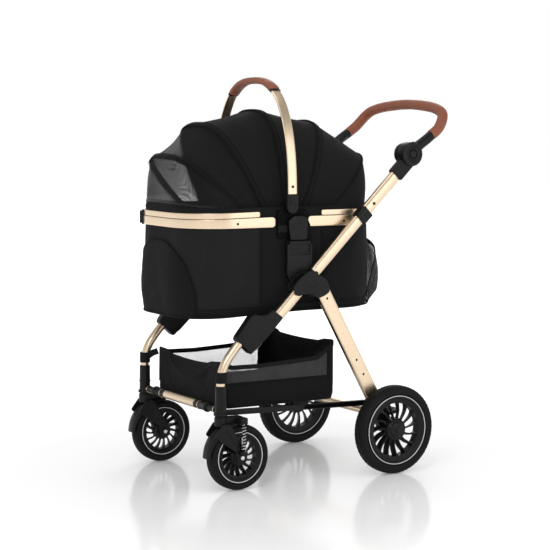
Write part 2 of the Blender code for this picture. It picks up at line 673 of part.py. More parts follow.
def make_running_gear():
    for side, tag in SIDES:
        make_caster(side, tag)
        make_wheel(f"front_wheel_{tag}", (side * FRONT_WHEEL_X, LEG_Y + CASTER_TRAIL, FRONT_RADIUS),
                   FRONT_RADIUS, FRONT_WIDTH, FRONT_RING, 0.0046)
        make_wheel(f"rear_wheel_{tag}", (side * REAR_WHEEL_X, *REAR_AXLE), REAR_RADIUS, REAR_WIDTH,
                   REAR_RING, 0.0062)


# ---- carrier ----
def make_tub():
    """The soft tub with the pockets on its front and back, and the pins inside it that the bows turn on."""
    tub = flat_plate("carrier_tub", carrier_plan(), *TUB_Z, "black_fabric")
    pockets = []
    for name, proud, half_width, top, y_from, y_to in (
        ("front_pocket", 0.013, 0.140, 0.645, -0.60, CARRIER_Y - 0.150),
        ("back_pocket", 0.038, 0.120, 0.632, CARRIER_Y + 0.150, 0.50),
    ):
        pocket = flat_plate(name, carrier_plan(proud), TUB_Z[0] + 0.006, 0.70, "black_fabric")
        base = TUB_Z[0] + 0.001
        arch = [(x, base + s) for x, s in superarch(half_width, top - base, 2.4, 18)]
        window = front_plate(f"{name}_window", arch, y_from, y_to, "black_fabric")
        combine(pocket, "INTERSECT", window)
        pockets.append(pocket)
    inside = flat_plate("carrier_inside", carrier_plan(-TUB_WALL), TUB_Z[0] + 0.006, 0.80, "black_fabric")
    cut(join(tub, *pockets), inside)
    for side, tag in SIDES:
        pin_ends = (side * 0.1575, side * (TUB_HALF[0] - TUB_WALL / 2))
        join(tub, across(f"canopy_pivot_{tag}", BOW_PIVOT, 0.0055, *pin_ends, "black_fabric"))
    flat_plate("carrier_mat", carrier_plan(-TUB_WALL - 0.003, 5), TUB_Z[0] + 0.0065, 0.488, "black_fabric")


def rim_half(name, front, ends, heights, proud):
    """One end of the rim: a lower band and a narrower upper band, each stopping at its own place."""
    finish = "champagne_metal"
    overlap = 0.001
    spans = ((heights[0], heights[1] + overlap), (heights[1], heights[2]))
    bands = []
    for band_name, end, outset, span in zip((name, f"{name}_upper"), ends, proud, spans):
        band = flat_plate(band_name, carrier_plan(outset), *span, finish)
        inside = flat_plate(f"{band_name}_inside", carrier_plan(GAP), 0.6, 0.8, finish)
        low, high = sorted((end, 0.6 if front else -0.6))
        away = box(f"{band_name}_away", (-0.3, low, 0.6), (0.3, high, 0.8), finish)
        bands.append(cut(band, inside, away))
    join(*bands)


def make_carrier_bracket(side, tag):
    """The plate on the carrier's side, whose tongue drops into the socket on the hub."""
    x_in, x_out = side * (TUB_HALF[0] + GAP), side * 0.1985
    body = side_plate(
        f"carrier_bracket_{tag}",
        rounded([(-0.070, 0.6453), (-0.004, 0.6453), (-0.006, 0.690),
                 (-0.018, 0.7145), (-0.056, 0.7145), (-0.069, 0.690)], 0.006, 3),
        side * 0.1875, x_out, "black_plastic")
    backing_outline = rounded_rectangle((-0.1020, 0.655), (-0.0100, 0.729), 0.003, 2)
    backing = side_plate(f"bracket_backing_{tag}", backing_outline, x_in, side * 0.1880, "black_plastic")
    tongue = side_box(f"bracket_tongue_{tag}", side, 0.1895, 0.1967, (-0.0550, 0.604), (-0.0190, 0.660),
                      "black_plastic")
    pivot = across(f"carry_pivot_{tag}", CARRY_PIVOT, 0.0050, side * 0.1830, side * 0.1950,
                   "black_plastic", 12)
    lug_outline = rounded([(-0.082, 0.715), (-0.042, 0.715), (-0.048, 0.752), (-0.076, 0.752)], 0.006, 3)
    lug = side_plate(f"carry_lug_{tag}", lug_outline, x_in, side * 0.1872, "black_plastic")
    join(body, backing, tongue, lug, pivot)


def carry_outline(half_thickness, trim=0):
    """The carry handle's arch in (x, z), this far to both sides of its middle line, less trim points an end."""
    edges = []
    for d in (half_thickness, -half_thickness):
        arch = superarch(CARRY_HALF_WIDTH + d, CARRY_HEIGHT + d, CARRY_EXPONENT, 28, CARRY_ARCH_FOOT)
        edges.append([(x, CARRY_Z + s) for x, s in arch[trim:len(arch) - trim]])
    return edges[0] + edges[1][::-1]


def make_carry_handle():
    """A flat arch with a padded sleeve, and the ends of it that turn on the carrier's pivots."""
    width, thick = CARRY_BAND
    loose = 0.0005
    arch = front_plate("carry_arch", carry_outline(thick / 2), CARRY_Y - width / 2, CARRY_Y + width / 2,
                       "champagne_metal")
    sleeve = front_plate("carry_grip", carry_outline(0.010, 8), CARRY_Y - 0.0175, CARRY_Y + 0.0175,
                         "brown_leather")
    half_bore = width / 2 + loose
    cut(sleeve, front_plate("carry_grip_bore", carry_outline(thick / 2 + loose), CARRY_Y - half_bore,
                            CARRY_Y + half_bore, "brown_leather"))
    half, top = 0.0170, CARRY_Z + 0.0340
    lower_edge = [(CARRY_Y + half * math.cos(a), CARRY_Z + half * math.sin(a))
                  for a in (math.pi + math.pi * i / 10 for i in range(11))]
    for side, tag in SIDES:
        end = side_plate(f"carry_end_{tag}", [*lower_edge, (CARRY_Y + half, top), (CARRY_Y - half, top)],
                         side * 0.1880, side * 0.2005, "black_plastic")
        hole_ends = (side * 0.18, side * 0.1955)
        hole = across(f"carry_end_bore_{tag}", CARRY_PIVOT, 0.0054, *hole_ends, "black_plastic")
        recess = side_box(f"carry_button_recess_{tag}", side, 0.1975, 0.2100, (CARRY_Y - 0.0085, 0.7445),
                          (CARRY_Y + 0.0085, 0.7615), "black_plastic")
        cut(join(arch, end), hole, recess)
        side_box(f"carry_button_{tag}", side, 0.2000, 0.2020, (CARRY_Y - 0.0080, 0.7450),
                 (CARRY_Y + 0.0080, 0.7610), "black_plastic")


def bow_frame(angle):
    """The matrix of a bow's plane: X across, Y out from the pivot, at this angle from +Y."""
    out = Vector((0, math.cos(angle), math.sin(angle)))
    return axes_matrix((1, 0, 0), out, Vector((1, 0, 0)).cross(out), (0, *BOW_PIVOT))


def make_bow(number, degrees, height, exponent, half_width):
    """One flat steel bow with an eye round each canopy pin."""
    strip, thick = BOW_STRIP
    outer = superarch(half_width + thick / 2, height + thick / 2, exponent, 24, 0.009)
    inner = superarch(half_width - thick / 2, height - thick / 2, exponent, 24, 0.009)
    name = f"canopy_bow_{number}"
    bow = plate(name, outer + inner[::-1], strip, bow_frame(math.radians(degrees)), "steel")
    for side, tag in SIDES:
        low, high = (side * (half_width + d) for d in (0.0001 - thick / 2, thick / 2 - 0.0001))
        eye = turned(f"{name}_eye_{tag}", [(high, 0.0110), (low, 0.0110), (low, 0.0063), (high, 0.0063)],
                     (0, *BOW_PIVOT), "steel", 14)
        join(bow, eye)


def arch_row(degrees, height, exponent, half_width, shift):
    """World points of an arch above the rim, moved square to its plane by shift."""
    angle = math.radians(degrees)
    start = (CANOPY_FOOT_Z - BOW_PIVOT[1] - shift * math.cos(angle)) / math.sin(angle)
    frame = bow_frame(angle)
    arch = superarch(half_width, height, exponent, PANEL_STEPS, start)
    return [frame @ Vector((x, s, shift)) for x, s in arch]


def between(first, second):
    """Rows of a panel from one bow to the next, drawn in between them."""
    rows, sag, clear = 3, 0.014, 0.0062
    found = []
    for i in range(rows + 1):
        f = i / rows
        degrees, height, exponent, half_width = (a + (b - a) * f for a, b in zip(first, second))
        pull = sag * math.sin(math.pi * f)
        shift = {0: -clear, rows: clear}.get(i, 0.0)
        found.append(arch_row(degrees, height - pull, exponent, half_width - pull / 4 + 0.0015, shift))
    return found


def rim_row(front, start_y):
    """Points along one end of the rim, evenly spaced from its +X side to its -X side."""
    sign = -1 if front else 1
    inset = 0.006
    plan = [Vector(p) for p in carrier_plan(-inset)]
    half_width = TUB_HALF[0] - inset
    end = [p for p in plan if sign * (p.y - start_y) > 0.002]
    end.sort(key=lambda p: -math.atan2(p.x, sign * (p.y - CARRIER_Y)))
    line = [Vector((half_width, start_y)), *end, Vector((-half_width, start_y))]
    lengths = [0.0]
    for a, b in zip(line, line[1:]):
        lengths.append(lengths[-1] + (b - a).length)
    found = []
    for i in range(PANEL_STEPS + 1):
        goal = lengths[-1] * i / PANEL_STEPS
        k = next(j for j in range(1, len(lengths)) if lengths[j] >= goal - 1e-9)
        share = (goal - lengths[k - 1]) / (lengths[k] - lengths[k - 1])
        point = line[k - 1].lerp(line[k], share)
        found.append(Vector((point.x, point.y, CANOPY_FOOT_Z)))
    return found


def make_canopy():
    """Four fabric panels: the mesh front over bow 1, two between the bows, and the back."""
    over = 0.0090
    first, second, third, fourth = BOWS
    bow_1 = arch_row(first[0], first[1] + over, first[2], 0.1720, 0.0)
    rim = rim_row(True, bow_1[0].y)
    middle = [a.lerp(b, 0.5) for a, b in zip(rim, bow_1)]
    mesh_rows = between((first[0], first[1] + over, first[2], 0.1720), (*second[:3], 0.1700))[1:]
    trim = slice(1, -1)
    sheet("canopy_mesh", [row[trim] for row in (rim, middle, bow_1, *mesh_rows)], SOFT_SHEET, "grey_mesh")
    sheet("canopy_front", between((*second[:3], 0.1720), (*third[:3], 0.1720)), SOFT_SHEET, "black_fabric")
    sheet("canopy_top", between((*third[:3], 0.1720), (*fourth[:3], 0.1720)), SOFT_SHEET, "black_fabric")
    back_bow = arch_row(*BACK_BOW[:3], 0.1735, 0.0)
    back_rim = rim_row(False, back_bow[0].y)
    back_middle = [a.lerp(b, 0.5) for a, b in zip(back_rim, back_bow)]
    back_rows = between((*fourth[:3], 0.1735), (*BACK_BOW[:3], 0.1735))[:-1]
    rows = (*back_rows, back_bow, back_middle, back_rim)
    sheet("canopy_back", [row[trim] for row in rows], SOFT_SHEET, "black_fabric")


def make_carrier():
    make_tub()
    proud = (RIM_PROUD, RIM_PROUD - 0.002)
    rim_half("rim_front", True, RIM_FRONT_ENDS, RIM_Z, proud)
    rim_half("rim_back", False, RIM_REAR_ENDS, RIM_Z, proud)
    for side, tag in SIDES:
        make_carrier_bracket(side, tag)
    make_carry_handle()
    for number, bow in enumerate(BOWS, 1):
        make_bow(number, *bow)
    make_canopy()


# ---- joints ----
def joint_places():
    """Each moving piece and a point on the axis that it turns about or slides along."""
    places = {
        "rear_axle": (0, *HUB),
        "handlebar_tube": (0, *HANDLE_PIVOT),
        "handlebar_grip": (0, *HANDLE_PIVOT),
        "basket_frame": (0, *RAIL_PIVOT),
        "brake_pedal": (0, *AXLE_TUBE),
        "carry_arch": (0, *CARRY_PIVOT),
        "carry_grip": (0, *CARRY_PIVOT),
        "canopy_mesh": (0, *BOW_PIVOT),
        "canopy_front": (0, *BOW_PIVOT),
        "canopy_top": (0, *BOW_PIVOT),
    }
    for number in range(1, len(BOWS) + 1):
        places[f"canopy_bow_{number}"] = (0, *BOW_PIVOT)
    for side, tag in SIDES:
        x = side * SIDE_X
        for name in ("lower_tube", "rear_leg"):
            places[f"{name}_{tag}"] = (x, *HUB)
        for name in ("upper_tube", "collar", "handle_bracket", "angle_button"):
            places[f"{name}_{tag}"] = (x, *HANDLE_PIVOT)
        for name in ("caster_fork", "caster_spring"):
            places[f"{name}_{tag}"] = (x, LEG_Y, BOOT_FOOT)
        places[f"carry_button_{tag}"] = (side * 0.2000, *CARRY_PIVOT)
        for piece in ("rim", "tyre"):
            places[f"front_wheel_{tag}_{piece}"] = (side * FRONT_WHEEL_X, LEG_Y + CASTER_TRAIL, FRONT_RADIUS)
            places[f"rear_wheel_{tag}_{piece}"] = (side * REAR_WHEEL_X, *REAR_AXLE)
    return places


def put_origins_on_joints():
    for name, place in joint_places().items():
        obj = parts.objects[name]
        obj.data.transform(Matrix.Translation(-Vector(place)))
        obj.location = place


def main():
    global parts, helpers
    clear_scene()
    parts = collection("pet_stroller")
    helpers = collection("cutters")
    make_materials()
    for side, tag in SIDES:
        make_hub(side, tag)
        make_front_frame(side, tag)
        make_handle(side, tag)
        make_rear_leg(side, tag)
    make_crossbar()
    make_basket()
    make_handlebar()
    make_rear_axle()
    make_brake()
    make_basket_frame()
    make_running_gear()
    make_carrier()
    put_origins_on_joints()
    helpers.hide_render = True


main()
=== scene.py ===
"""The looks of a folding pet stroller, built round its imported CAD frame: metres, +Z up, front towards -Y."""

import json
import math

import bmesh
import bpy
import numpy as np
from mathutils import Matrix, Vector, noise

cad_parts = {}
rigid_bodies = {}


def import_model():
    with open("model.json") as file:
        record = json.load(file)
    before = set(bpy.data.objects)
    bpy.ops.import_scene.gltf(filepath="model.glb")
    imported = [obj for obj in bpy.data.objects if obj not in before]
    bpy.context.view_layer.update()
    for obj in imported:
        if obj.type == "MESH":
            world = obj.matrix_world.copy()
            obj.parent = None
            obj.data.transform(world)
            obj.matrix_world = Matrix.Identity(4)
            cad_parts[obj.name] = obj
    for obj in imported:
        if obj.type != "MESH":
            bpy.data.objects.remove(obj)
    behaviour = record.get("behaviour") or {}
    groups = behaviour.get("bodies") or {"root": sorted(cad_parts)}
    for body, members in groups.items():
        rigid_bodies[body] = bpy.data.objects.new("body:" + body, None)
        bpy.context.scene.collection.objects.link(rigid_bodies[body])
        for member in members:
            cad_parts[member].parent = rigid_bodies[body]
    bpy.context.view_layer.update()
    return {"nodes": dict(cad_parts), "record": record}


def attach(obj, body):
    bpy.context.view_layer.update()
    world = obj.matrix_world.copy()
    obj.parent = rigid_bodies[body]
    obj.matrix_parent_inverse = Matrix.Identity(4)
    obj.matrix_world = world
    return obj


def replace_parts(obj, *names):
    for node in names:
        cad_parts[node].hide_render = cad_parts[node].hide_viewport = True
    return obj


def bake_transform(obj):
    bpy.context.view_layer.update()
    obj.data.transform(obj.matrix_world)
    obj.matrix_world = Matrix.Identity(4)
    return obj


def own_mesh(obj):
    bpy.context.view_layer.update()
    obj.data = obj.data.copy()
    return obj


for old in list(bpy.data.objects):
    bpy.data.objects.remove(old, do_unlink=True)

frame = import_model()
cad_nodes = frame["nodes"]

# ---- dimensions shared with the CAD ----
SIDES = ((1, "left"), (-1, "right"))
SIDE_X = 0.2145
HUB = (-0.005, 0.560)
TUBE_ANGLE, LEG_ANGLE = math.radians(44.3), math.radians(-60.5)
HANDLE_PIVOT = (0.304, 0.876)
HANDLEBAR_LEFT = [
    (0.1920, 0.306, 0.8775), (0.1925, 0.345, 0.9010), (0.2050, 0.384, 0.9260), (0.2030, 0.415, 0.9490),
    (0.1880, 0.4385, 0.9800), (0.1600, 0.4475, 0.9960), (0.1000, 0.4540, 1.0070), (0.0, 0.4575, 1.0130),
]
LEG_Y, LEG_RADIUS = -0.289, 0.0118
BOOT_TOP, BOOT_FOOT = 0.278, 0.2005
CROSSBAR_Z = 0.213
BASKET_FLOOR = 0.2095
REAR_AXLE, AXLE_TUBE = (0.238, 0.122), (0.2235, 0.158)
REAR_WHEEL_X = 0.252
CASTER_TRAIL = 0.051
CARRIER_Y = -0.0525
TUB_HALF, TUB_CORNER = (0.181, 0.300), 0.125
TUB_Z = (0.455, 0.735)
RIM_Z = (0.684, 0.7125, 0.7275)
BOW_PIVOT = (-0.065, 0.600)
BOWS = ((136.0, 0.386, 3.3), (116.5, 0.395, 3.1), (90.8, 0.392, 2.65), (65.0, 0.399, 2.5))
BOW_EYE_X = (0.1605, 0.1637, 0.1669, 0.1701)
BACK_BOW = (41.0, 0.4185, 2.9)
CARRY_Y, CARRY_Z = -0.062, 0.737
CARRY_HALF_WIDTH, CARRY_HEIGHT, CARRY_EXPONENT = 0.196, 0.337, 2.55


# ---- camera, lights and floor ----
def make_camera():
    azimuth, elevation, roll = math.radians(58.27), math.radians(5.46), math.radians(0.39)
    flat = math.cos(elevation)
    back = Vector((math.sin(azimuth) * flat, -math.cos(azimuth) * flat, math.sin(elevation)))
    right = Vector((math.cos(azimuth), math.sin(azimuth), 0))
    up = back.cross(right)
    turned_right = right * math.cos(roll) + up * math.sin(roll)
    turned_up = up * math.cos(roll) - right * math.sin(roll)
    data = bpy.data.cameras.new("camera")
    data.sensor_width = 36
    data.lens = 110.02
    camera = bpy.data.objects.new("camera", data)
    bpy.context.scene.collection.objects.link(camera)
    matrix = Matrix((turned_right, turned_up, back)).transposed().to_4x4()
    matrix.translation = Vector((3.962, -2.443, 0.982))
    camera.matrix_world = matrix
    bpy.context.scene.camera = camera


def area_light(name, place, target, size, power, colour=(1, 1, 1)):
    data = bpy.data.lights.new(name, "AREA")
    data.shape = "RECTANGLE"
    data.size, data.size_y = size
    data.energy = power
    data.color = colour
    light = bpy.data.objects.new(name, data)
    bpy.context.scene.collection.objects.link(light)
    light.location = place
    light.rotation_euler = (Vector(target) - Vector(place)).to_track_quat("-Z", "Y").to_euler()


make_camera()


# ---- materials ----
class Paint:
    """A material: its Principled shader, and short calls for the nodes that feed it."""

    def __init__(self, name, colour, roughness, metallic=0.0, **sockets):
        self.material = bpy.data.materials.new(name)
        self.material.use_nodes = True
        self.tree = self.material.node_tree
        self.shader = self.tree.nodes["Principled BSDF"]
        self.set(Base_Color=(*colour, 1.0), Roughness=roughness, Metallic=metallic, **sockets)
        self.coords = self.tree.nodes.new("ShaderNodeTexCoord").outputs

    def feed(self, socket, value):
        if isinstance(value, bpy.types.NodeSocket):
            self.tree.links.new(value, socket)
        else:
            socket.default_value = value

    def set(self, **sockets):
        for key, value in sockets.items():
            self.feed(self.shader.inputs[key.replace("_", " ")], value)

    def node(self, kind, props=None, **inputs):
        made = self.tree.nodes.new("ShaderNode" + kind)
        for key, value in (props or {}).items():
            setattr(made, key, value)
        for key, value in inputs.items():
            self.feed(made.inputs[key.replace("_", " ")], value)
        return made

    def math(self, operation, a, b=0.0):
        made = self.node("Math", {"operation": operation})
        self.feed(made.inputs[0], a)
        self.feed(made.inputs[1], b)
        return made.outputs[0]

    def noise(self, scale, detail=4.0, stretch=(1, 1, 1), rough=0.55):
        placed = self.node("Mapping", Vector=self.coords["Object"], Scale=stretch)
        return self.node("TexNoise", Vector=placed.outputs[0], Scale=scale, Detail=detail,
                         Roughness=rough).outputs["Fac"]

    def cells(self, scale, coords="Object"):
        return self.node("TexVoronoi", {"feature": "DISTANCE_TO_EDGE"}, Vector=self.coords[coords],
                         Scale=scale).outputs["Distance"]

    def spread(self, value, low, high, to_low, to_high):
        made = self.node("MapRange", {"clamp": True}, Value=value, From_Min=low, From_Max=high,
                         To_Min=to_low, To_Max=to_high)
        return made.outputs[0]

    def colours(self, value, first, second):
        made = self.node("Mix", {"data_type": "RGBA"})
        self.feed(made.inputs[0], value)
        self.feed(made.inputs[6], (*first, 1.0))
        self.feed(made.inputs[7], (*second, 1.0))
        return made.outputs[2]

    def waves(self, pitch, coords):
        """The cosine of each coordinate at this pitch."""
        parts = self.node("SeparateXYZ", Vector=self.coords[coords]).outputs
        return [self.math("COSINE", self.math("MULTIPLY", part, 2 * math.pi / pitch)) for part in parts]

    def weave(self, pitch):
        """Raised threads along and across any surface, in object space."""
        x, y, z = self.waves(pitch, "Object")
        pairs = [self.math("MULTIPLY", a, b) for a, b in ((x, z), (y, z), (x, y))]
        return self.math("ADD", self.math("ADD", pairs[0], pairs[1]), pairs[2])

    def bump(self, *layers):
        """Each layer is a height and its depth in metres."""
        normal = None
        for height, depth in layers:
            made = self.node("Bump", Height=height, Distance=depth, Strength=1.0)
            if normal is not None:
                self.feed(made.inputs["Normal"], normal)
            normal = made.outputs[0]
        self.set(Normal=normal)
        return self


def make_gold():
    paint = Paint("champagne_gold", (0.69, 0.55, 0.40), 0.30, 1.0)
    cloud = paint.noise(9, 3)
    grain = paint.noise(900, 2, (0.15, 0.15, 1))
    paint.set(Base_Color=paint.colours(cloud, (0.66, 0.52, 0.37), (0.72, 0.58, 0.425)))
    paint.set(Roughness=paint.spread(grain, 0.3, 0.7, 0.25, 0.36))
    return paint.bump((grain, 0.00004)).material


def make_plastic(name="black_plastic", level=1.0, rough=(0.36, 0.50)):
    colour = tuple(c * level for c in (0.0045, 0.0045, 0.0048))
    paint = Paint(name, colour, 0.45, Specular_IOR_Level=0.18)
    edge = paint.spread(paint.node("NewGeometry").outputs["Pointiness"], 0.52, 0.62, 0.0, 1.0)
    cloud = paint.noise(14, 3)
    tone = paint.math("ADD", paint.math("MULTIPLY", edge, 0.55), paint.math("MULTIPLY", cloud, 0.35))
    paint.set(Base_Color=paint.colours(tone, tuple(0.75 * c for c in colour), tuple(2.4 * c for c in colour)))
    grain = paint.noise(1500, 2)
    paint.set(Roughness=paint.spread(cloud, 0.3, 0.7, *rough))
    return paint.bump((grain, 0.00009)).material


def make_rubber():
    paint = Paint("tyre_rubber", (0.006, 0.006, 0.006), 0.72, Specular_IOR_Level=0.16)
    cloud = paint.noise(22, 4)
    paint.set(Base_Color=paint.colours(cloud, (0.004, 0.004, 0.004), (0.009, 0.009, 0.0088)))
    paint.set(Roughness=paint.spread(cloud, 0.3, 0.7, 0.62, 0.82))
    return paint.bump((paint.noise(700, 3), 0.00012)).material


def make_leather():
    paint = Paint("tan_leather", (0.20, 0.062, 0.030), 0.5, Specular_IOR_Level=0.30)
    cloud, fine = paint.noise(26, 4), paint.noise(260, 3)
    tone = paint.math("ADD", paint.math("MULTIPLY", cloud, 0.75), paint.math("MULTIPLY", fine, 0.35))
    paint.set(Base_Color=paint.colours(tone, (0.135, 0.037, 0.017), (0.31, 0.100, 0.050)))
    paint.set(Roughness=paint.spread(cloud, 0.3, 0.7, 0.42, 0.60))
    pores = paint.spread(paint.cells(620), 0.0, 0.16, 0.0, 1.0)
    return paint.bump((pores, 0.00016), (paint.noise(120, 2), 0.0004)).material


def make_fabric(name="black_fabric", level=1.0, pitch=0.0011):
    low, high = (0.0045 * level,) * 2 + (0.0048 * level,), (0.0115 * level,) * 2 + (0.0118 * level,)
    paint = Paint(name, high, 0.88, Sheen_Weight=0.02, Sheen_Roughness=0.45, Specular_IOR_Level=0.10)
    cloud, fibre = paint.noise(16, 4), paint.noise(800, 2)
    tone = paint.math("ADD", paint.math("MULTIPLY", cloud, 0.6), paint.math("MULTIPLY", fibre, 0.4))
    paint.set(Base_Color=paint.colours(tone, low, high))
    paint.set(Roughness=paint.spread(cloud, 0.3, 0.7, 0.80, 0.94))
    return paint.bump((paint.weave(pitch), 0.00012), (paint.noise(60, 3), 0.0006)).material


def make_net(name, pitch, open_share, tone, level):
    """Warp-knit mesh: a honeycomb of holes, drawn in metric UVs."""
    paint = Paint(name, tone, 0.85, Specular_IOR_Level=0.1)
    u, v, _ = paint.node("SeparateXYZ", Vector=paint.coords["UV"]).outputs
    turn = 2 * math.pi / pitch
    u, v = paint.math("MULTIPLY", u, turn), paint.math("MULTIPLY", v, turn * math.sqrt(3) / 2)
    half = paint.math("MULTIPLY", u, 0.5)
    lattice = [paint.math("COSINE", a) for a in (u, paint.math("SUBTRACT", v, half), paint.math("ADD", v, half))]
    height = paint.math("ADD", paint.math("ADD", lattice[0], lattice[1]), lattice[2])
    thread = paint.spread(height, open_share - 0.12, open_share + 0.12, 1.0, 0.0)
    cloud = paint.noise(30, 3)
    paint.set(Base_Color=paint.colours(cloud, tuple(c * level for c in tone), tone), Alpha=thread)
    return paint.bump((thread, 0.0002)).material


def make_steel():
    paint = Paint("bright_steel", (0.62, 0.62, 0.63), 0.25, 1.0)
    grain = paint.noise(500, 3, (1, 1, 0.1))
    paint.set(Base_Color=paint.colours(grain, (0.50, 0.50, 0.51), (0.72, 0.72, 0.73)))
    paint.set(Roughness=paint.spread(grain, 0.3, 0.7, 0.18, 0.34))
    return paint.bump((grain, 0.00003)).material


def make_white_ring():
    paint = Paint("ring_paint", (0.62, 0.62, 0.62), 0.35, 0.35)
    paint.set(Base_Color=paint.colours(paint.noise(60, 4), (0.50, 0.50, 0.50), (0.72, 0.72, 0.72)))
    return paint.bump((paint.noise(400, 2), 0.00005)).material


def make_floor():
    paint = Paint("studio_floor", (0.93, 0.93, 0.93), 0.14, Specular_IOR_Level=0.20)
    paint.set(Base_Color=paint.colours(paint.noise(1.5, 2), (0.92, 0.92, 0.92), (0.94, 0.94, 0.94)))
    away = paint.node("VectorMath", {"operation": "LENGTH"}, Vector=paint.coords["Object"]).outputs["Value"]
    paint.set(Emission_Color=(1, 1, 1, 1), Emission_Strength=paint.spread(away, 0.7, 2.6, 0.12, 0.62))
    return paint.material


GOLD, PLASTIC, RUBBER, LEATHER = make_gold(), make_plastic(), make_rubber(), make_leather()
SATIN_PLASTIC = make_plastic("satin_plastic", 0.8, (0.24, 0.34))
DARK_PLASTIC = make_plastic("dark_plastic", 0.5, (0.55, 0.70))
DARK_PLASTIC.node_tree.nodes["Principled BSDF"].inputs["Specular IOR Level"].default_value = 0.05
FABRIC, BINDING = make_fabric(), make_fabric("binding_tape", 0.75, 0.0008)
WEBBING, THREAD = make_fabric("webbing", 1.25, 0.0018), make_fabric("black_thread", 2.6, 0.0006)
# A lighter copy of the black fabric, as painted sheen: the light that the tub's front section catches.
PAINTED_SHEEN_FABRIC = make_fabric("painted_sheen_fabric", 1.7)
TAN_THREAD = make_leather()
TAN_THREAD.name = "tan_thread"
CANOPY_NET = make_net("canopy_net", 0.0026, -0.50, (0.022, 0.022, 0.022), 0.7)
POUCH_NET = make_net("pouch_net", 0.0030, 0.55, (0.05, 0.05, 0.05), 0.7)
BASKET_NET = make_net("basket_net", 0.0030, -0.85, (0.12, 0.12, 0.12), 0.7)
STEEL, WHITE_RING = make_steel(), make_white_ring()


# ---- points ----
def from_hub(angle, distance, shift=0.0):
    """The (y, z) point this far from the hub, moved square to the line by shift."""
    return (
        HUB[0] + distance * math.cos(angle) - shift * math.sin(angle),
        HUB[1] + distance * math.sin(angle) + shift * math.cos(angle),
    )


def smooth(points, per_span=8):
    """Catmull-Rom points through the given ones."""
    points = [Vector(p) for p in points]
    padded = [2 * points[0] - points[1], *points, 2 * points[-1] - points[-2]]
    found = []
    for a, b, c, d in zip(padded, padded[1:], padded[2:], padded[3:]):
        square, cube = 2 * a - 5 * b + 4 * c - d, 3 * b - a - 3 * c + d
        for i in range(per_span):
            t = i / per_span
            found.append(0.5 * (2 * b + (c - a) * t + square * t**2 + cube * t**3))
    return [*found, points[-1]]


def rounded(corners, radius, steps=5):
    """A polygon with its corners rounded."""
    found = []
    for i, corner in enumerate(corners):
        corner = Vector(corner)
        before = (Vector(corners[i - 1]) - corner).normalized()
        after = (Vector(corners[(i + 1) % len(corners)]) - corner).normalized()
        half = before.angle(after) / 2
        back = radius / math.tan(half)
        centre = corner + (before + after).normalized() * (radius / math.sin(half))
        first = corner + before * back - centre
        turn = first.angle_signed(corner + after * back - centre)
        for step in range(steps + 1):
            angle = -turn * step / steps
            cos, sin = math.cos(angle), math.sin(angle)
            found.append((centre.x + first.x * cos - first.y * sin, centre.y + first.x * sin + first.y * cos))
    return found


def rectangle(low, high, radius, steps=5):
    return rounded([low, (high[0], low[1]), high, (low[0], high[1])], radius, steps)


def superellipse(half_u, half_v, exponent=2.0, count=24):
    """A closed profile between a rectangle and an ellipse."""
    found = []
    for i in range(count):
        angle = 2 * math.pi * i / count
        cos, sin = math.cos(angle), math.sin(angle)
        found.append((math.copysign(abs(cos) ** (2 / exponent), cos) * half_u,
                      math.copysign(abs(sin) ** (2 / exponent), sin) * half_v))
    return found


def even(points, count, closed=False):
    """The same line as count evenly spaced spans."""
    points = [Vector(p) for p in points]
    if closed:
        points.append(points[0])
    lengths = np.concatenate([[0.0], np.cumsum([(b - a).length for a, b in zip(points, points[1:])])])
    goals = np.linspace(0, lengths[-1], count + 1)
    flat = np.array([tuple(p) for p in points])
    found = np.stack([np.interp(goals, lengths, flat[:, k]) for k in range(flat.shape[1])], axis=1)
    found = [Vector(p) for p in found]
    return found[:-1] if closed else found


def superarch(half_width, height, exponent, steps, start=0.0):
    """(x, s) points of an arch from its +X foot over the top to its -X foot, starting at height start."""
    first = math.asin(min(1.0, (max(start, 0.0) / height) ** (exponent / 2)))
    found = []
    for i in range(steps + 1):
        t = first + (math.pi - 2 * first) * i / steps
        x = math.copysign(abs(math.cos(t)) ** (2 / exponent), math.cos(t)) * half_width
        found.append((x, height * max(math.sin(t), 0.0) ** (2 / exponent)))
    return found


def carrier_plan(proud=0.0, count=240):
    """The carrier's outline from above, this far outside the tub, from its rear middle by +X to the front."""
    corners = rectangle((-TUB_HALF[0] - proud, CARRIER_Y - TUB_HALF[1] - proud),
                        (TUB_HALF[0] + proud, CARRIER_Y + TUB_HALF[1] + proud), TUB_CORNER + proud, 24)
    line = even(corners, count, closed=True)
    start = max(range(count), key=lambda i: line[i].y - 5 * abs(line[i].x))
    line = line[start:] + line[:start]
    if line[1].x < 0:
        line = [line[0], *line[:0:-1]]
    return line


def plan_between(front, start_y, proud=0.0, count=80):
    """The plan's points round one end of the carrier, from its +X side at start_y to its -X side."""
    half_width = TUB_HALF[0] + proud
    sign = -1 if front else 1
    line = [p for p in carrier_plan(proud, 720) if sign * (p.y - start_y) > 0.0004]
    line.sort(key=lambda p: -math.atan2(p.x, sign * (p.y - CARRIER_Y)))
    return even([Vector((half_width, start_y)), *line, Vector((-half_width, start_y))], count)


def bow_matrix(degrees):
    """X across, Y out from the pivot in a bow's plane, Z square to it."""
    angle = math.radians(degrees)
    out = Vector((0, math.cos(angle), math.sin(angle)))
    made = Matrix((Vector((1, 0, 0)), out, Vector((1, 0, 0)).cross(out))).transposed().to_4x4()
    made.translation = Vector((0, *BOW_PIVOT))
    return made


def bow_line(degrees, height, exponent, half_width=0.1715, foot_z=0.729, count=64, shift=0.0):
    """An arch in a bow's plane from the rim over to the rim."""
    start = (foot_z - BOW_PIVOT[1] - shift * math.cos(math.radians(degrees))) / math.sin(math.radians(degrees))
    matrix = bow_matrix(degrees)
    return even([matrix @ Vector((x, s, shift)) for x, s in superarch(half_width, height, exponent, 160, start)],
                count)


def wobble(point, scale, depth, seed=0.0):
    """A smooth seeded number within depth of nought."""
    return depth * noise.noise(Vector(point) * scale + Vector((seed, 2.3 * seed, 1.7)))


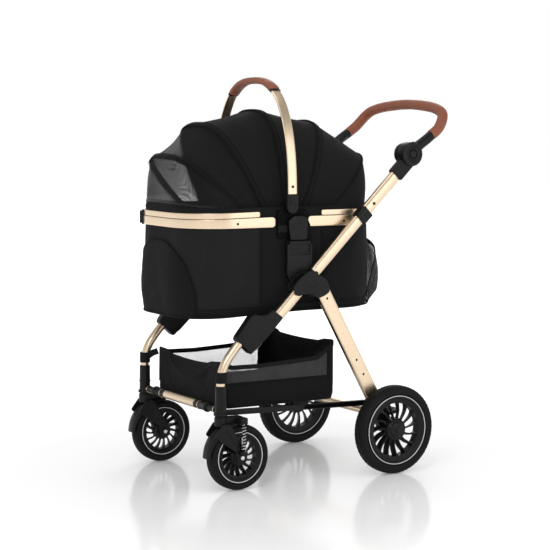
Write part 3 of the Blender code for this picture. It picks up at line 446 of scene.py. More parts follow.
# ---- meshes ----
def add(name, mesh, material, sharp=38):
    mesh.materials.clear()
    mesh.materials.append(material)
    mesh.shade_smooth()
    mesh.set_sharp_from_angle(angle=math.radians(sharp))
    obj = bpy.data.objects.new(name, mesh)
    bpy.context.scene.collection.objects.link(obj)
    return obj


def from_shape(name, shape, material, sharp=38, outward=True):
    if outward:
        bmesh.ops.recalc_face_normals(shape, faces=shape.faces)
    mesh = bpy.data.meshes.new(name)
    shape.to_mesh(mesh)
    shape.free()
    return add(name, mesh, material, sharp)


def grid(name, rows, material, wrap_u=False, wrap_v=False, cap=False, keep=None, sharp=38, thick=0.0):
    """Rows of points as one surface with metric UVs. wrap_u closes each row, wrap_v joins the last row to the first, cap closes both ends."""
    shape = bmesh.new()
    layer = shape.loops.layers.uv.new("metric")
    rows = [[Vector(p) for p in row] for row in rows]
    verts = [[shape.verts.new(p) for p in row] for row in rows]
    middle = rows[len(rows) // 2]
    us = np.concatenate([[0], np.cumsum([(b - a).length for a, b in zip(middle, middle[1:] + middle[:1])])])
    column = len(middle) // 2
    vs = np.concatenate([[0], np.cumsum([(b[column] - a[column]).length for a, b in zip(rows, rows[1:] + rows[:1])])])
    width = len(middle)
    for j in range(len(rows) - (0 if wrap_v else 1)):
        for i in range(width - (0 if wrap_u else 1)):
            if keep is not None and not keep(i, j):
                continue
            corners = ((i, j), (i + 1, j), (i + 1, j + 1), (i, j + 1))
            face = shape.faces.new([verts[b % len(rows)][a % width] for a, b in corners])
            for loop, (a, b) in zip(face.loops, corners):
                loop[layer].uv = (us[a], vs[b])
    if cap:
        for row in (verts[0][::-1], verts[-1]):
            shape.faces.new(row)
    loose = [v for v in shape.verts if not v.link_faces]
    bmesh.ops.delete(shape, geom=loose, context="VERTS")
    if cap or wrap_v:
        bmesh.ops.remove_doubles(shape, verts=shape.verts, dist=0.000005)
    obj = from_shape(name, shape, material, sharp)
    if thick:
        solid = obj.modifiers.new("cloth thickness", "SOLIDIFY")
        solid.thickness = thick
        solid.offset = 0
    return obj


def sweep(name, path, profile, material, up=None, closed=False, scale=None, sharp=38, cap=True):
    """A closed (side, up) profile carried along a path; scale gives its (side, up) share at a fraction of the way."""
    path = [Vector(p) for p in path]
    count = len(path)
    rows = []
    lift = None
    for i, point in enumerate(path):
        if closed:
            along = (path[(i + 1) % count] - path[i - 1]).normalized()
        else:
            along = (path[min(i + 1, count - 1)] - path[max(i - 1, 0)]).normalized()
        if up is not None:
            lift = up(i, point) if callable(up) else Vector(up)
        elif lift is None:
            lift = Vector((0, 0, 1)) if abs(along.z) < 0.9 else Vector((0, 1, 0))
        side = along.cross(lift).normalized()
        lift = side.cross(along).normalized()
        wide, tall = scale(i / (count - 1)) if scale else (1, 1)
        rows.append([point + side * a * wide + lift * b * tall for a, b in profile])
    return grid(name, rows, material, wrap_u=True, wrap_v=closed, cap=cap and not closed, sharp=sharp)


def tube(name, path, radius, material, sides=16, **more):
    return sweep(name, path, superellipse(radius, radius, 2, sides), material, **more)


AXES = {
    "X": lambda along, a, b: Vector((along, a, b)),
    "Z": lambda along, a, b: Vector((a, b, along)),
}


def lathe(name, profile, centre, material, axis="X", steps=64, sign=1, closed=True, sharp=38):
    """A (distance along the axis, radius) profile turned round an axis through centre."""
    centre = Vector(centre)
    rows = []
    for i in range(steps):
        turn = 2 * math.pi * i / steps
        rows.append([centre + AXES[axis](sign * along, r * math.cos(turn), r * math.sin(turn))
                     for along, r in profile])
    return grid(name, rows, material, wrap_u=closed, wrap_v=True, sharp=sharp)


def bevel_sharp(shape, width, segments=2, over=28):
    limit = math.radians(over)
    edges = [e for e in shape.edges if len(e.link_faces) == 2 and e.calc_face_angle(0) > limit]
    if edges and width:
        bmesh.ops.bevel(shape, geom=edges, offset=width, segments=segments, profile=0.6, affect="EDGES",
                        clamp_overlap=True)


def prism(name, outline, to_point, low, high, material, bevel=0.001, segments=3, sharp=50):
    """An outline extruded from low to high; to_point(a, b, depth) gives each point."""
    shape = bmesh.new()
    ends = [[shape.verts.new(to_point(a, b, depth)) for a, b in outline] for depth in (low, high)]
    shape.faces.new(ends[0])
    shape.faces.new(ends[1][::-1])
    count = len(outline)
    for i in range(count):
        j = (i + 1) % count
        shape.faces.new((ends[0][j], ends[0][i], ends[1][i], ends[1][j]))
    bmesh.ops.recalc_face_normals(shape, faces=shape.faces)
    rims = [e for e in shape.edges if any(len(f.verts) == count for f in e.link_faces)]
    if bevel:
        bmesh.ops.bevel(shape, geom=rims, offset=bevel, segments=segments, profile=0.55, affect="EDGES",
                        clamp_overlap=True)
    return from_shape(name, shape, material, sharp)


def side_prism(name, outline, x_low, x_high, material, **more):
    """A (y, z) outline extruded along X."""
    return prism(name, outline, lambda a, b, x: Vector((x, a, b)), x_low, x_high, material, **more)


def flat_prism(name, outline, z_low, z_high, material, **more):
    return prism(name, outline, lambda a, b, z: Vector((a, b, z)), z_low, z_high, material, **more)


def refined(node, material, bevel=0.0010, name=None):
    """The CAD node's shape with its flat triangles joined and its edges softened; it stands for the node."""
    shape = bmesh.new()
    shape.from_mesh(cad_nodes[node].data)
    bmesh.ops.remove_doubles(shape, verts=shape.verts, dist=0.00002)
    bmesh.ops.dissolve_limit(shape, angle_limit=math.radians(1.5), verts=shape.verts, edges=shape.edges)
    bevel_sharp(shape, bevel)
    bmesh.ops.triangulate(shape, faces=[f for f in shape.faces if len(f.verts) > 4])
    obj = from_shape(name or f"{node}_shell", shape, material, 30)
    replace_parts(obj, node)
    return obj


def beads(name, path, length, radius, gap, material, lift=None):
    """A row of stitches along a path, as one mesh of small pointed ovals."""
    path = [Vector(p) for p in path]
    total = sum((b - a).length for a, b in zip(path, path[1:]))
    count = max(2, round(total / (length + gap)))
    points = even(path, 2 * count)
    shape = bmesh.new()
    rings = ((-0.5, 0.25), (-0.3, 0.85), (0.0, 1.0), (0.3, 0.85), (0.5, 0.25))
    for k in range(count):
        middle = points[2 * k + 1]
        along = (points[2 * k + 2] - points[2 * k]).normalized()
        side = along.cross(Vector((0.31, 0.52, 0.79))).normalized()
        third = along.cross(side)
        rows = [[shape.verts.new(middle + along * length * a + (side * math.cos(t) + third * math.sin(t)) * radius * r)
                 for t in (i * math.pi / 3 for i in range(6))] for a, r in rings]
        for one, two in zip(rows, rows[1:]):
            for i in range(6):
                shape.faces.new((one[i], one[(i + 1) % 6], two[(i + 1) % 6], two[i]))
        shape.faces.new(rows[0][::-1])
        shape.faces.new(rows[-1])
    return from_shape(name, shape, material, 60)


def ride(obj, body, *nodes):
    """The piece moves with a body and stands for these CAD nodes."""
    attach(obj, body)
    if nodes:
        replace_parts(obj, *nodes)
    return obj


def screw(name, centre, axis_sign, radius, material, body):
    """A button-head screw with a recess, its axis along X."""
    profile = [(-0.0010, 0.0), (-0.0010, radius), (0.0004, radius), (0.0012, 0.82 * radius),
               (0.0016, 0.55 * radius), (0.0016, 0.42 * radius), (0.0006, 0.38 * radius), (0.0005, 0.0)]
    return ride(lathe(name, profile, centre, material, steps=24, sign=axis_sign, closed=False), body)


def settle(obj, frames=18, pressure=0.0, gravity=0.0, pinned=None, cap=0.010, stiffness=15.0):
    """Runs a cloth simulation on the piece and keeps its result, no point moving further than cap."""
    cloth = obj.modifiers.new("settle", "CLOTH")
    settings = cloth.settings
    settings.quality = 5
    settings.mass = 0.3
    settings.tension_stiffness = settings.compression_stiffness = stiffness
    settings.bending_stiffness = 0.6
    settings.effector_weights.gravity = gravity
    if pressure:
        settings.use_pressure = True
        settings.uniform_pressure_force = pressure
    if pinned is not None:
        group = obj.vertex_groups.new(name="pins")
        group.add([v.index for v in obj.data.vertices if pinned(v.co)], 1.0, "REPLACE")
        settings.vertex_group_mass = "pins"
    scene = bpy.context.scene
    cloth.point_cache.frame_start, cloth.point_cache.frame_end = 1, frames
    for number in range(1, frames + 1):
        scene.frame_set(number)
    count = len(obj.data.vertices)
    before, after = np.empty(3 * count), np.empty(3 * count)
    obj.data.vertices.foreach_get("co", before)
    obj.evaluated_get(bpy.context.evaluated_depsgraph_get()).data.vertices.foreach_get("co", after)
    move = (after - before).reshape(-1, 3)
    reach = np.linalg.norm(move, axis=1, keepdims=True)
    move *= np.minimum(1.0, cap / np.maximum(reach, 1e-9))
    obj.modifiers.remove(cloth)
    obj.vertex_groups.clear()
    scene.frame_set(1)
    obj.data.vertices.foreach_set("co", (before + move.ravel()).astype(np.float32))
    obj.data.update()
    return obj


def inflate(obj, voxel=0.005, pressure=4.0, cap=0.010, frames=20, pinned=None):
    """Remeshes a closed soft piece evenly and swells it by simulation."""
    shape = obj.modifiers.new("voxels", "REMESH")
    shape.mode = "VOXEL"
    shape.voxel_size = voxel
    graph = bpy.context.evaluated_depsgraph_get()
    mesh = bpy.data.meshes.new_from_object(obj.evaluated_get(graph))
    material = obj.data.materials[0]
    obj.modifiers.clear()
    obj.data = mesh
    obj.data.materials.clear()
    obj.data.materials.append(material)
    settle(obj, frames, pressure=pressure, cap=cap, pinned=pinned)
    obj.data.shade_smooth()
    finer = obj.modifiers.new("finer", "SUBSURF")
    finer.levels = finer.render_levels = 1
    return obj


def surface_area(rows):
    total = 0.0
    for one, two in zip(rows, rows[1:]):
        for i in range(len(one) - 1):
            a, b, c, d = (Vector(p) for p in (one[i], one[i + 1], two[i + 1], two[i]))
            total += ((b - a).cross(c - a)).length / 2 + ((c - a).cross(d - a)).length / 2
    return total


def line_length(points):
    return sum((Vector(b) - Vector(a)).length for a, b in zip(points, points[1:]))


def declare(obj, rows, share=1.0):
    area = surface_area(rows) * share
    width = max(line_length(row) for row in rows)
    length = max(line_length([row[i] for row in rows]) for i in range(0, len(rows[0]), 4))
    length = max(length, area / width * 1.001)
    return obj


# ---- wheels ----
def make_wheel(body, side, centre, radius, width, ring_radius, hub_share):
    """Tyre with its white line, ring, fifteen slightly curved twisted spokes and a domed hub."""
    half, bed = width / 2, ring_radius + 0.0030
    profile = []
    for along, out in superellipse(1.0, 1.0, 2.6, 56):
        depth = 0.5 + 0.5 * out
        groove = 0.0009 if depth > 0.93 and 0.16 < abs(along) < 0.30 else 0.0
        step = 0.0006 if 0.60 < depth < 0.66 else 0.0
        profile.append((along * (half - step) * (0.80 + 0.20 * min(1.0, 1.9 * depth)), bed + depth * (radius - bed) - groove))
    tyre = lathe(f"{body}_tyre_shell", profile, centre, RUBBER, steps=128, sign=side)
    ride(tyre, body, f"{body}_tyre")
    # Short cross grooves of the tread, as raised blocks on both shoulders.
    shape = bmesh.new()
    blocks = 60
    for k in range(blocks):
        for edge, offset in ((1, 0.0), (-1, 0.5)):
            angle = 2 * math.pi * (k + offset) / blocks
            corners = []
            for along, out in ((0.34, 0.0), (0.62, -0.0007), (0.80, -0.0034)):
                for turn in (-0.30, 0.30):
                    t = angle + turn * 2 * math.pi / blocks
                    lift = radius + out - 0.00005
                    corners.append([Vector(centre) + Vector((side * edge * along * half, (lift - d) * math.cos(t), (lift - d) * math.sin(t)))
                                    for d in (0.0, 0.0022)])
            top = [shape.verts.new(c[0]) for c in corners]
            low = [shape.verts.new(c[1]) for c in corners]
            for a, b, c, d in ((0, 1, 3, 2), (2, 3, 5, 4)):
                shape.faces.new((top[a], top[b], top[c], top[d]))
                shape.faces.new((low[d], low[c], low[b], low[a]))
            for a, b in ((0, 1), (1, 3), (3, 5), (5, 4), (4, 2), (2, 0)):
                shape.faces.new((top[b], top[a], low[a], low[b]))
    ride(from_shape(f"{body}_tread", shape, RUBBER), body)
    face = 0.66 * half
    lip = 0.825 * ring_radius
    side_ring = [(face, bed - 0.0005), (face + 0.0022, bed - 0.0010), (face + 0.0022, bed - 0.0048), (face + 0.0004, bed - 0.0062),
                 (0.86 * face, lip + 0.0020), (0.80 * face, lip)]
    ring = side_ring + [(-along, out) for along, out in reversed(side_ring)]
    ride(lathe(f"{body}_ring", ring, centre, PLASTIC, steps=128, sign=side), body, f"{body}_rim")
    for which, end in (("outer", 1), ("inner", -1)):
        middle = (end * (0.74 * half + 0.0017), bed + 0.0012)
        line = [(middle[0] + a, middle[1] + b) for a, b in superellipse(0.0012, 0.0012, 2.5, 12)]
        ride(lathe(f"{body}_white_line_{which}", line, centre, WHITE_RING, steps=128, sign=side), body)
    boss = hub_share * ring_radius
    hub = [(-0.80 * half, 0.0), (-0.80 * half, 0.80 * boss), (-0.68 * half, boss), (0.60 * half, boss),
           (0.70 * half, 0.93 * boss), (0.74 * half, 0.90 * boss), (0.74 * half, 0.78 * boss), (0.83 * half, 0.73 * boss),
           (0.93 * half, 0.56 * boss), (0.97 * half, 0.35 * boss), (0.97 * half, 0.0)]
    ride(lathe(f"{body}_hub", hub, centre, SATIN_PLASTIC, steps=48, sign=side, closed=False), body)
    shape = bmesh.new()
    spokes, steps = 15, 14
    inner, outer = boss - 0.001, lip + 0.0005
    for k in range(spokes):
        start = 2 * math.pi * k / spokes
        rings = []
        for i in range(steps + 1):
            t = i / steps
            r = inner + (outer - inner) * t
            angle = start + side * 0.20 * t**1.6
            out = Vector((0, math.cos(angle), math.sin(angle)))
            across_it = Vector((0, -math.sin(angle), math.cos(angle)))
            lean = side * math.radians(20 - 10 * t)
            flat = Vector((math.cos(lean), 0, 0)) + across_it * math.sin(lean)
            square = flat.cross(out).normalized()
            flare = abs(2 * t - 1) ** 5
            wide = (0.40 + 0.08 * t) * half
            thick = (0.0021 + 0.0010 * t + 0.0034 * flare) * (0.8 + 0.2 * ring_radius / 0.09)
            rings.append([shape.verts.new(Vector(centre) + out * r + flat * a + square * b)
                          for a, b in superellipse(wide, thick, 4, 12)])
        for one, two in zip(rings, rings[1:]):
            for i in range(12):
                shape.faces.new((one[i], one[(i + 1) % 12], two[(i + 1) % 12], two[i]))
        shape.faces.new(rings[0][::-1])
        shape.faces.new(rings[-1])
    ride(from_shape(f"{body}_spokes", shape, PLASTIC, 50), body)


def make_wheels():
    for side, tag in SIDES:
        make_wheel(f"rear_wheel_{tag}", side, (side * REAR_WHEEL_X, *REAR_AXLE), 0.122, 0.042, 0.0900, 0.34)
        make_wheel(f"front_wheel_{tag}", side, (side * SIDE_X, LEG_Y + CASTER_TRAIL, 0.0875), 0.0875, 0.038, 0.0623, 0.38)


# ---- casters ----
def make_caster(side, tag):
    body = f"caster_{tag}"
    x, axle = side * SIDE_X, (LEG_Y + CASTER_TRAIL, 0.0875)
    head = [(0.1995, 0.0), (0.1995, 0.0135), (0.1985, 0.0150), (0.1955, 0.0155), (0.1950, 0.0170), (0.1740, 0.0170),
            (0.1720, 0.0150), (0.1710, 0.0120), (0.1710, 0.0)]
    ride(lathe(f"{body}_head", head, (x, LEG_Y, 0), PLASTIC, axis="Z", steps=40, closed=False), body,
         f"caster_fork_{tag}", f"caster_spring_{tag}")
    lobe = rectangle((LEG_Y - 0.006, 0.1775), (LEG_Y + 0.063, 0.1960), 0.0075, 6)
    ride(side_prism(f"{body}_lobe", lobe, x - 0.0120, x + 0.0120, PLASTIC, bevel=0.0025), body)
    # Mudguard: an arched shell, thin at its edges, wrapped round the front of the wheel.
    rows, steps = [], 22
    for i in range(steps + 1):
        t = i / steps
        angle = math.radians(88 + 90 * t)
        half = 0.0262 * (0.72 + 0.28 * math.sin(math.pi * min(1, 0.25 + 0.8 * t)))
        ring = []
        for a, b in superellipse(half, 0.0021, 5, 28):
            r = 0.0945 + b - 0.006 * (a / 0.0262) ** 2 + 0.0015
            ring.append(Vector((x + a, axle[0] + r * math.cos(angle), axle[1] + r * math.sin(angle))))
        rows.append(ring)
    ride(grid(f"{body}_mudguard", rows, PLASTIC, wrap_u=True, cap=True, sharp=45), body)
    for a_low, a_high, name in ((93, 112, "rib_top"), (118, 150, "rib_front")):
        arc = [Vector((x, axle[0] + 0.0976 * math.cos(math.radians(a)), axle[1] + 0.0976 * math.sin(math.radians(a))))
               for a in np.linspace(a_low, a_high, 12)]
        ride(tube(f"{body}_{name}", arc, 0.0022, PLASTIC, 10), body)
    arm = rounded([(LEG_Y - 0.032, 0.1490), (LEG_Y - 0.008, 0.1800), (LEG_Y + 0.014, 0.1800), (axle[0] + 0.014, 0.1000),
                   (axle[0] + 0.013, 0.0745), (axle[0] - 0.013, 0.0745), (axle[0] - 0.020, 0.1040)][::-1], 0.006, 4)
    for inner, outer, which in ((0.0220, 0.0264, "outer"), (-0.0264, -0.0220, "inner")):
        low, high = sorted((x + side * inner, x + side * outer))
        ride(side_prism(f"{body}_arm_{which}", arm, low, high, PLASTIC, bevel=0.0014), body)
        sign = 1 if which == "outer" else -1
        edge = x + side * sign * 0.0264
        cap = [(-0.001, 0.0), (-0.001, 0.0098), (0.0012, 0.0092), (0.0022, 0.0070), (0.0022, 0.0062)]
        ride(lathe(f"{body}_boss_{which}", [*cap, (0.0014, 0.0056), (0.0014, 0.0)], (edge, *axle), PLASTIC,
                   steps=32, sign=side * sign, closed=False), body)
        bolt = [(0.0010, 0.0), (0.0010, 0.0058), (0.0021, 0.0056), (0.0027, 0.0045), (0.0028, 0.0030), (0.0021, 0.0026),
                (0.0021, 0.0)]
        ride(lathe(f"{body}_bolt_{which}", bolt, (edge, *axle), STEEL, steps=32, sign=side * sign, closed=False), body)
    rib = [Vector((x + side * 0.0268, LEG_Y + 0.003, 0.166)), Vector((x + side * 0.0268, axle[0] - 0.006, 0.104))]
    ride(tube(f"{body}_arm_rib", even(rib, 6), 0.0014, PLASTIC, 8), body)
    # The spring and its two seats, outboard behind the head.
    seat_x, seat_y = x + side * 0.0338, LEG_Y + 0.050
    for where, low, high, inner in (("top", 0.1785, 0.1945, 0.0050), ("foot", 0.0985, 0.1065, 0.0215)):
        ends = sorted((x + side * inner, x + side * 0.0408))
        shape = rectangle((ends[0], seat_y - 0.0105), (ends[1], seat_y + 0.0105), 0.0050, 5)
        ride(flat_prism(f"{body}_spring_seat_{where}", shape, low, high, PLASTIC, bevel=0.0015), body)
    turns = 9
    coil = [Vector((seat_x + 0.0060 * math.cos(2 * math.pi * turns * t), seat_y + 0.0060 * math.sin(2 * math.pi * turns * t),
                    0.1068 + 0.0714 * t)) for t in np.linspace(0, 1, turns * 18)]
    ride(tube(f"{body}_coil", coil, 0.00115, STEEL, 8), body)
    pin = [(0.105, 0.0), (0.105, 0.0034), (0.180, 0.0034), (0.180, 0.0)]
    ride(lathe(f"{body}_spring_pin", pin, (seat_x, seat_y, 0), SATIN_PLASTIC, axis="Z", steps=16, closed=False), body)


# ---- metal tubes ----
def oval_tube(name, x, start, end, half_height, half_width, body, *nodes, exponent=2.8):
    start, end = Vector((x, *start)), Vector((x, *end))
    path = even([start, end], 24)
    soft = lambda t: (1 - 0.10 * max(0, 1 - min(t, 1 - t) / 0.008),) * 2
    across_it = (end - start).normalized().cross(Vector((1, 0, 0)))
    return ride(sweep(name, path, superellipse(half_width, half_height, exponent, 40), GOLD, up=across_it, scale=soft),
                body, *nodes)


def make_tubes(side, tag):
    x = side * SIDE_X
    front = TUBE_ANGLE + math.pi
    oval_tube(f"front_tube_shell_{tag}", x, from_hub(front, 0.050), from_hub(front, 0.2645), 0.0150, 0.0100, "frame",
              f"front_tube_{tag}")
    oval_tube(f"lower_tube_shell_{tag}", x, from_hub(TUBE_ANGLE, 0.003), from_hub(TUBE_ANGLE, 0.265), 0.0152, 0.0087,
              "handle_frame", f"lower_tube_{tag}")
    oval_tube(f"upper_tube_shell_{tag}", x, from_hub(TUBE_ANGLE, 0.224), from_hub(TUBE_ANGLE, 0.369), 0.0168, 0.0105,
              "handle_slide", f"upper_tube_{tag}")
    oval_tube(f"rear_leg_shell_{tag}", x, from_hub(LEG_ANGLE, 0.024), from_hub(LEG_ANGLE, 0.4045), 0.0202, 0.0090,
              "rear_legs", f"rear_leg_{tag}", exponent=6.0)
    for i, run in enumerate((0.079, 0.278, 0.325, 0.392)):
        screw(f"rear_leg_screw_{i}_{tag}", (x + side * 0.0085, *from_hub(LEG_ANGLE, run)), side, 0.0034, PLASTIC, "rear_legs")
    at = from_hub(TUBE_ANGLE, 0.262)
    button = [(-0.001, 0.0), (-0.001, 0.0036), (0.0012, 0.0034), (0.0022, 0.0022), (0.0024, 0.0)]
    ride(lathe(f"snap_button_{tag}", button, (x + side * 0.0100, *at), PLASTIC, steps=20, sign=side, closed=False), "handle_slide")
    hole = [(-0.0006, 0.0036), (0.0006, 0.0038), (0.0008, 0.0046), (-0.0006, 0.0050)]
    ride(lathe(f"snap_hole_{tag}", hole, (x + side * 0.0101, *at), PLASTIC, steps=24, sign=side), "handle_slide")
    along = math.radians(54.5)
    top = Vector((-0.187, 0.452))
    down = -Vector((math.cos(along), math.sin(along)))
    points = [top + 0.02 * down, top + 0.04 * down, top + 0.075 * down, Vector((-0.2450, 0.3755)), Vector((-0.2715, 0.3430)),
              Vector((-0.2852, 0.3150)), Vector((LEG_Y, 0.290)), Vector((LEG_Y, BOOT_TOP - 0.010))]
    leg = tube(f"front_leg_shell_{tag}", smooth([(x, *p) for p in points], 8), LEG_RADIUS, GOLD, 32)
    ride(leg, "frame", f"front_leg_{tag}")
    boot = [(BOOT_FOOT, 0.0), (BOOT_FOOT, 0.0175), (0.2015, 0.0187), (0.2062, 0.0187), (0.2075, 0.0172), (0.2090, 0.0153),
            (0.2300, 0.0149), (0.2310, 0.0158), (0.2350, 0.0158), (0.2360, 0.0149), (0.2745, 0.0146), (0.2775, 0.0138),
            (BOOT_TOP, 0.0125), (BOOT_TOP, 0.0)]
    ride(lathe(f"leg_boot_shell_{tag}", boot, (x, LEG_Y, 0), PLASTIC, axis="Z", steps=48, closed=False), "frame",
         f"leg_boot_{tag}")
    loop = [(0.2855, 0.0122), (0.2855, 0.0142), (0.3000, 0.0147), (0.3145, 0.0142), (0.3145, 0.0122)]
    ride(lathe(f"leg_strap_{tag}", loop, (x, LEG_Y + 0.0004, 0), WEBBING, axis="Z", steps=40), "frame")
    seam = [Vector((x + side * 0.0148 * math.cos(t), LEG_Y - 0.0148 * math.sin(t), 0.2875)) for t in np.linspace(-1.2, 1.2, 12)]
    ride(beads(f"leg_strap_stitch_{tag}", seam, 0.0022, 0.0004, 0.0012, THREAD), "frame")


# ---- hubs, sockets and brackets ----
def cap_disc(name, centre, radius, sign, body, material=SATIN_PLASTIC, height=0.003):
    """A raised round cap with a step and a dished middle, its axis along X."""
    profile = [(-0.001, 0.0), (-0.001, radius), (0.4 * height, radius), (0.6 * height, 0.94 * radius), (0.6 * height, 0.80 * radius),
               (height, 0.76 * radius), (height, 0.50 * radius), (0.75 * height, 0.42 * radius), (0.75 * height, 0.0)]
    return ride(lathe(name, profile, centre, material, steps=48, sign=sign, closed=False), body)


def make_hub(side, tag):
    # Both cheeks have one smooth outline, drawn closed by a spline; the socket between them and the carrier is separate.
    cheek = [(-0.0800, 0.5250), (-0.0700, 0.5390), (-0.0560, 0.5510), (-0.0300, 0.5680), (-0.0180, 0.5690), (-0.0020, 0.5590),
             (0.0170, 0.5490), (0.0290, 0.5360), (0.0350, 0.5180), (0.0300, 0.5060), (0.0000, 0.4950), (-0.0230, 0.5060),
             (-0.0490, 0.5060), (-0.0640, 0.5040)]
    edge = [(p.x, p.y) for p in even(smooth([Vector(p) for p in [*cheek, cheek[0]]], 8), 120, closed=False)[:-1]][::-1]
    outer = side_prism(f"hub_shell_{tag}", edge, *sorted((side * 0.2258, side * 0.2345)), PLASTIC, bevel=0.0024)
    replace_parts(ride(outer, "frame"), f"hub_{tag}")
    ride(side_prism(f"hub_inner_cheek_{tag}", edge, *sorted((side * 0.1990, side * 0.2036)), PLASTIC, bevel=0.0012), "frame")
    ride(lathe(f"hub_pin_{tag}", [(0.2010, 0.0), (0.2010, 0.0068), (0.2290, 0.0068), (0.2290, 0.0)], (0, *HUB), PLASTIC, steps=28,
               sign=side, closed=False), "frame")
    block = [(-0.0790, 0.5600), (-0.0790, 0.6450), (-0.0040, 0.6450), (-0.0040, 0.5240), (-0.0450, 0.5200), (-0.0640, 0.5330)]
    ride(side_prism(f"hub_socket_{tag}", rounded(block[::-1], 0.004, 4), *sorted((side * 0.1875, side * 0.2010)), PLASTIC,
                    bevel=0.0016), "frame")
    face = side * 0.2344
    dish = [(-0.0006, 0.0), (-0.0006, 0.0105), (0.0006, 0.0102), (0.0010, 0.0090), (0.0004, 0.0078), (0.0004, 0.0)]
    ride(lathe(f"hub_cap_{tag}", dish, (face, -0.0140, 0.5330), PLASTIC, steps=40, sign=side, closed=False), "frame")
    # The socket's outer face: a frame round a recess, two ribs across it.
    low, high = sorted((side * 0.2004, side * 0.2040))
    for name, shape in (
        ("left_wall", rectangle((-0.0805, 0.5640), (-0.0735, 0.6465), 0.0022)),
        ("right_wall", rectangle((-0.0085, 0.5600), (-0.0025, 0.6465), 0.0020)),
        ("top_wall", rectangle((-0.0805, 0.6385), (-0.0025, 0.6465), 0.0026)),
        ("rib_1", rectangle((-0.0740, 0.6240), (-0.0300, 0.6275), 0.0012)),
        ("rib_2", rectangle((-0.0740, 0.6130), (-0.0080, 0.6165), 0.0012)),
        ("plate", rectangle((-0.0745, 0.5640), (-0.0085, 0.6100), 0.0030)),
    ):
        ride(side_prism(f"socket_{name}_{tag}", shape, low, high, PLASTIC, bevel=0.0007), "frame")
    lip = [Vector((side * 0.1930, y, 0.6458)) for y in np.linspace(-0.0765, -0.0065, 20)]
    ride(sweep(f"socket_lip_{tag}", lip, superellipse(0.0085, 0.0012, 4, 20), PLASTIC, up=(0, 0, 1)), "frame")


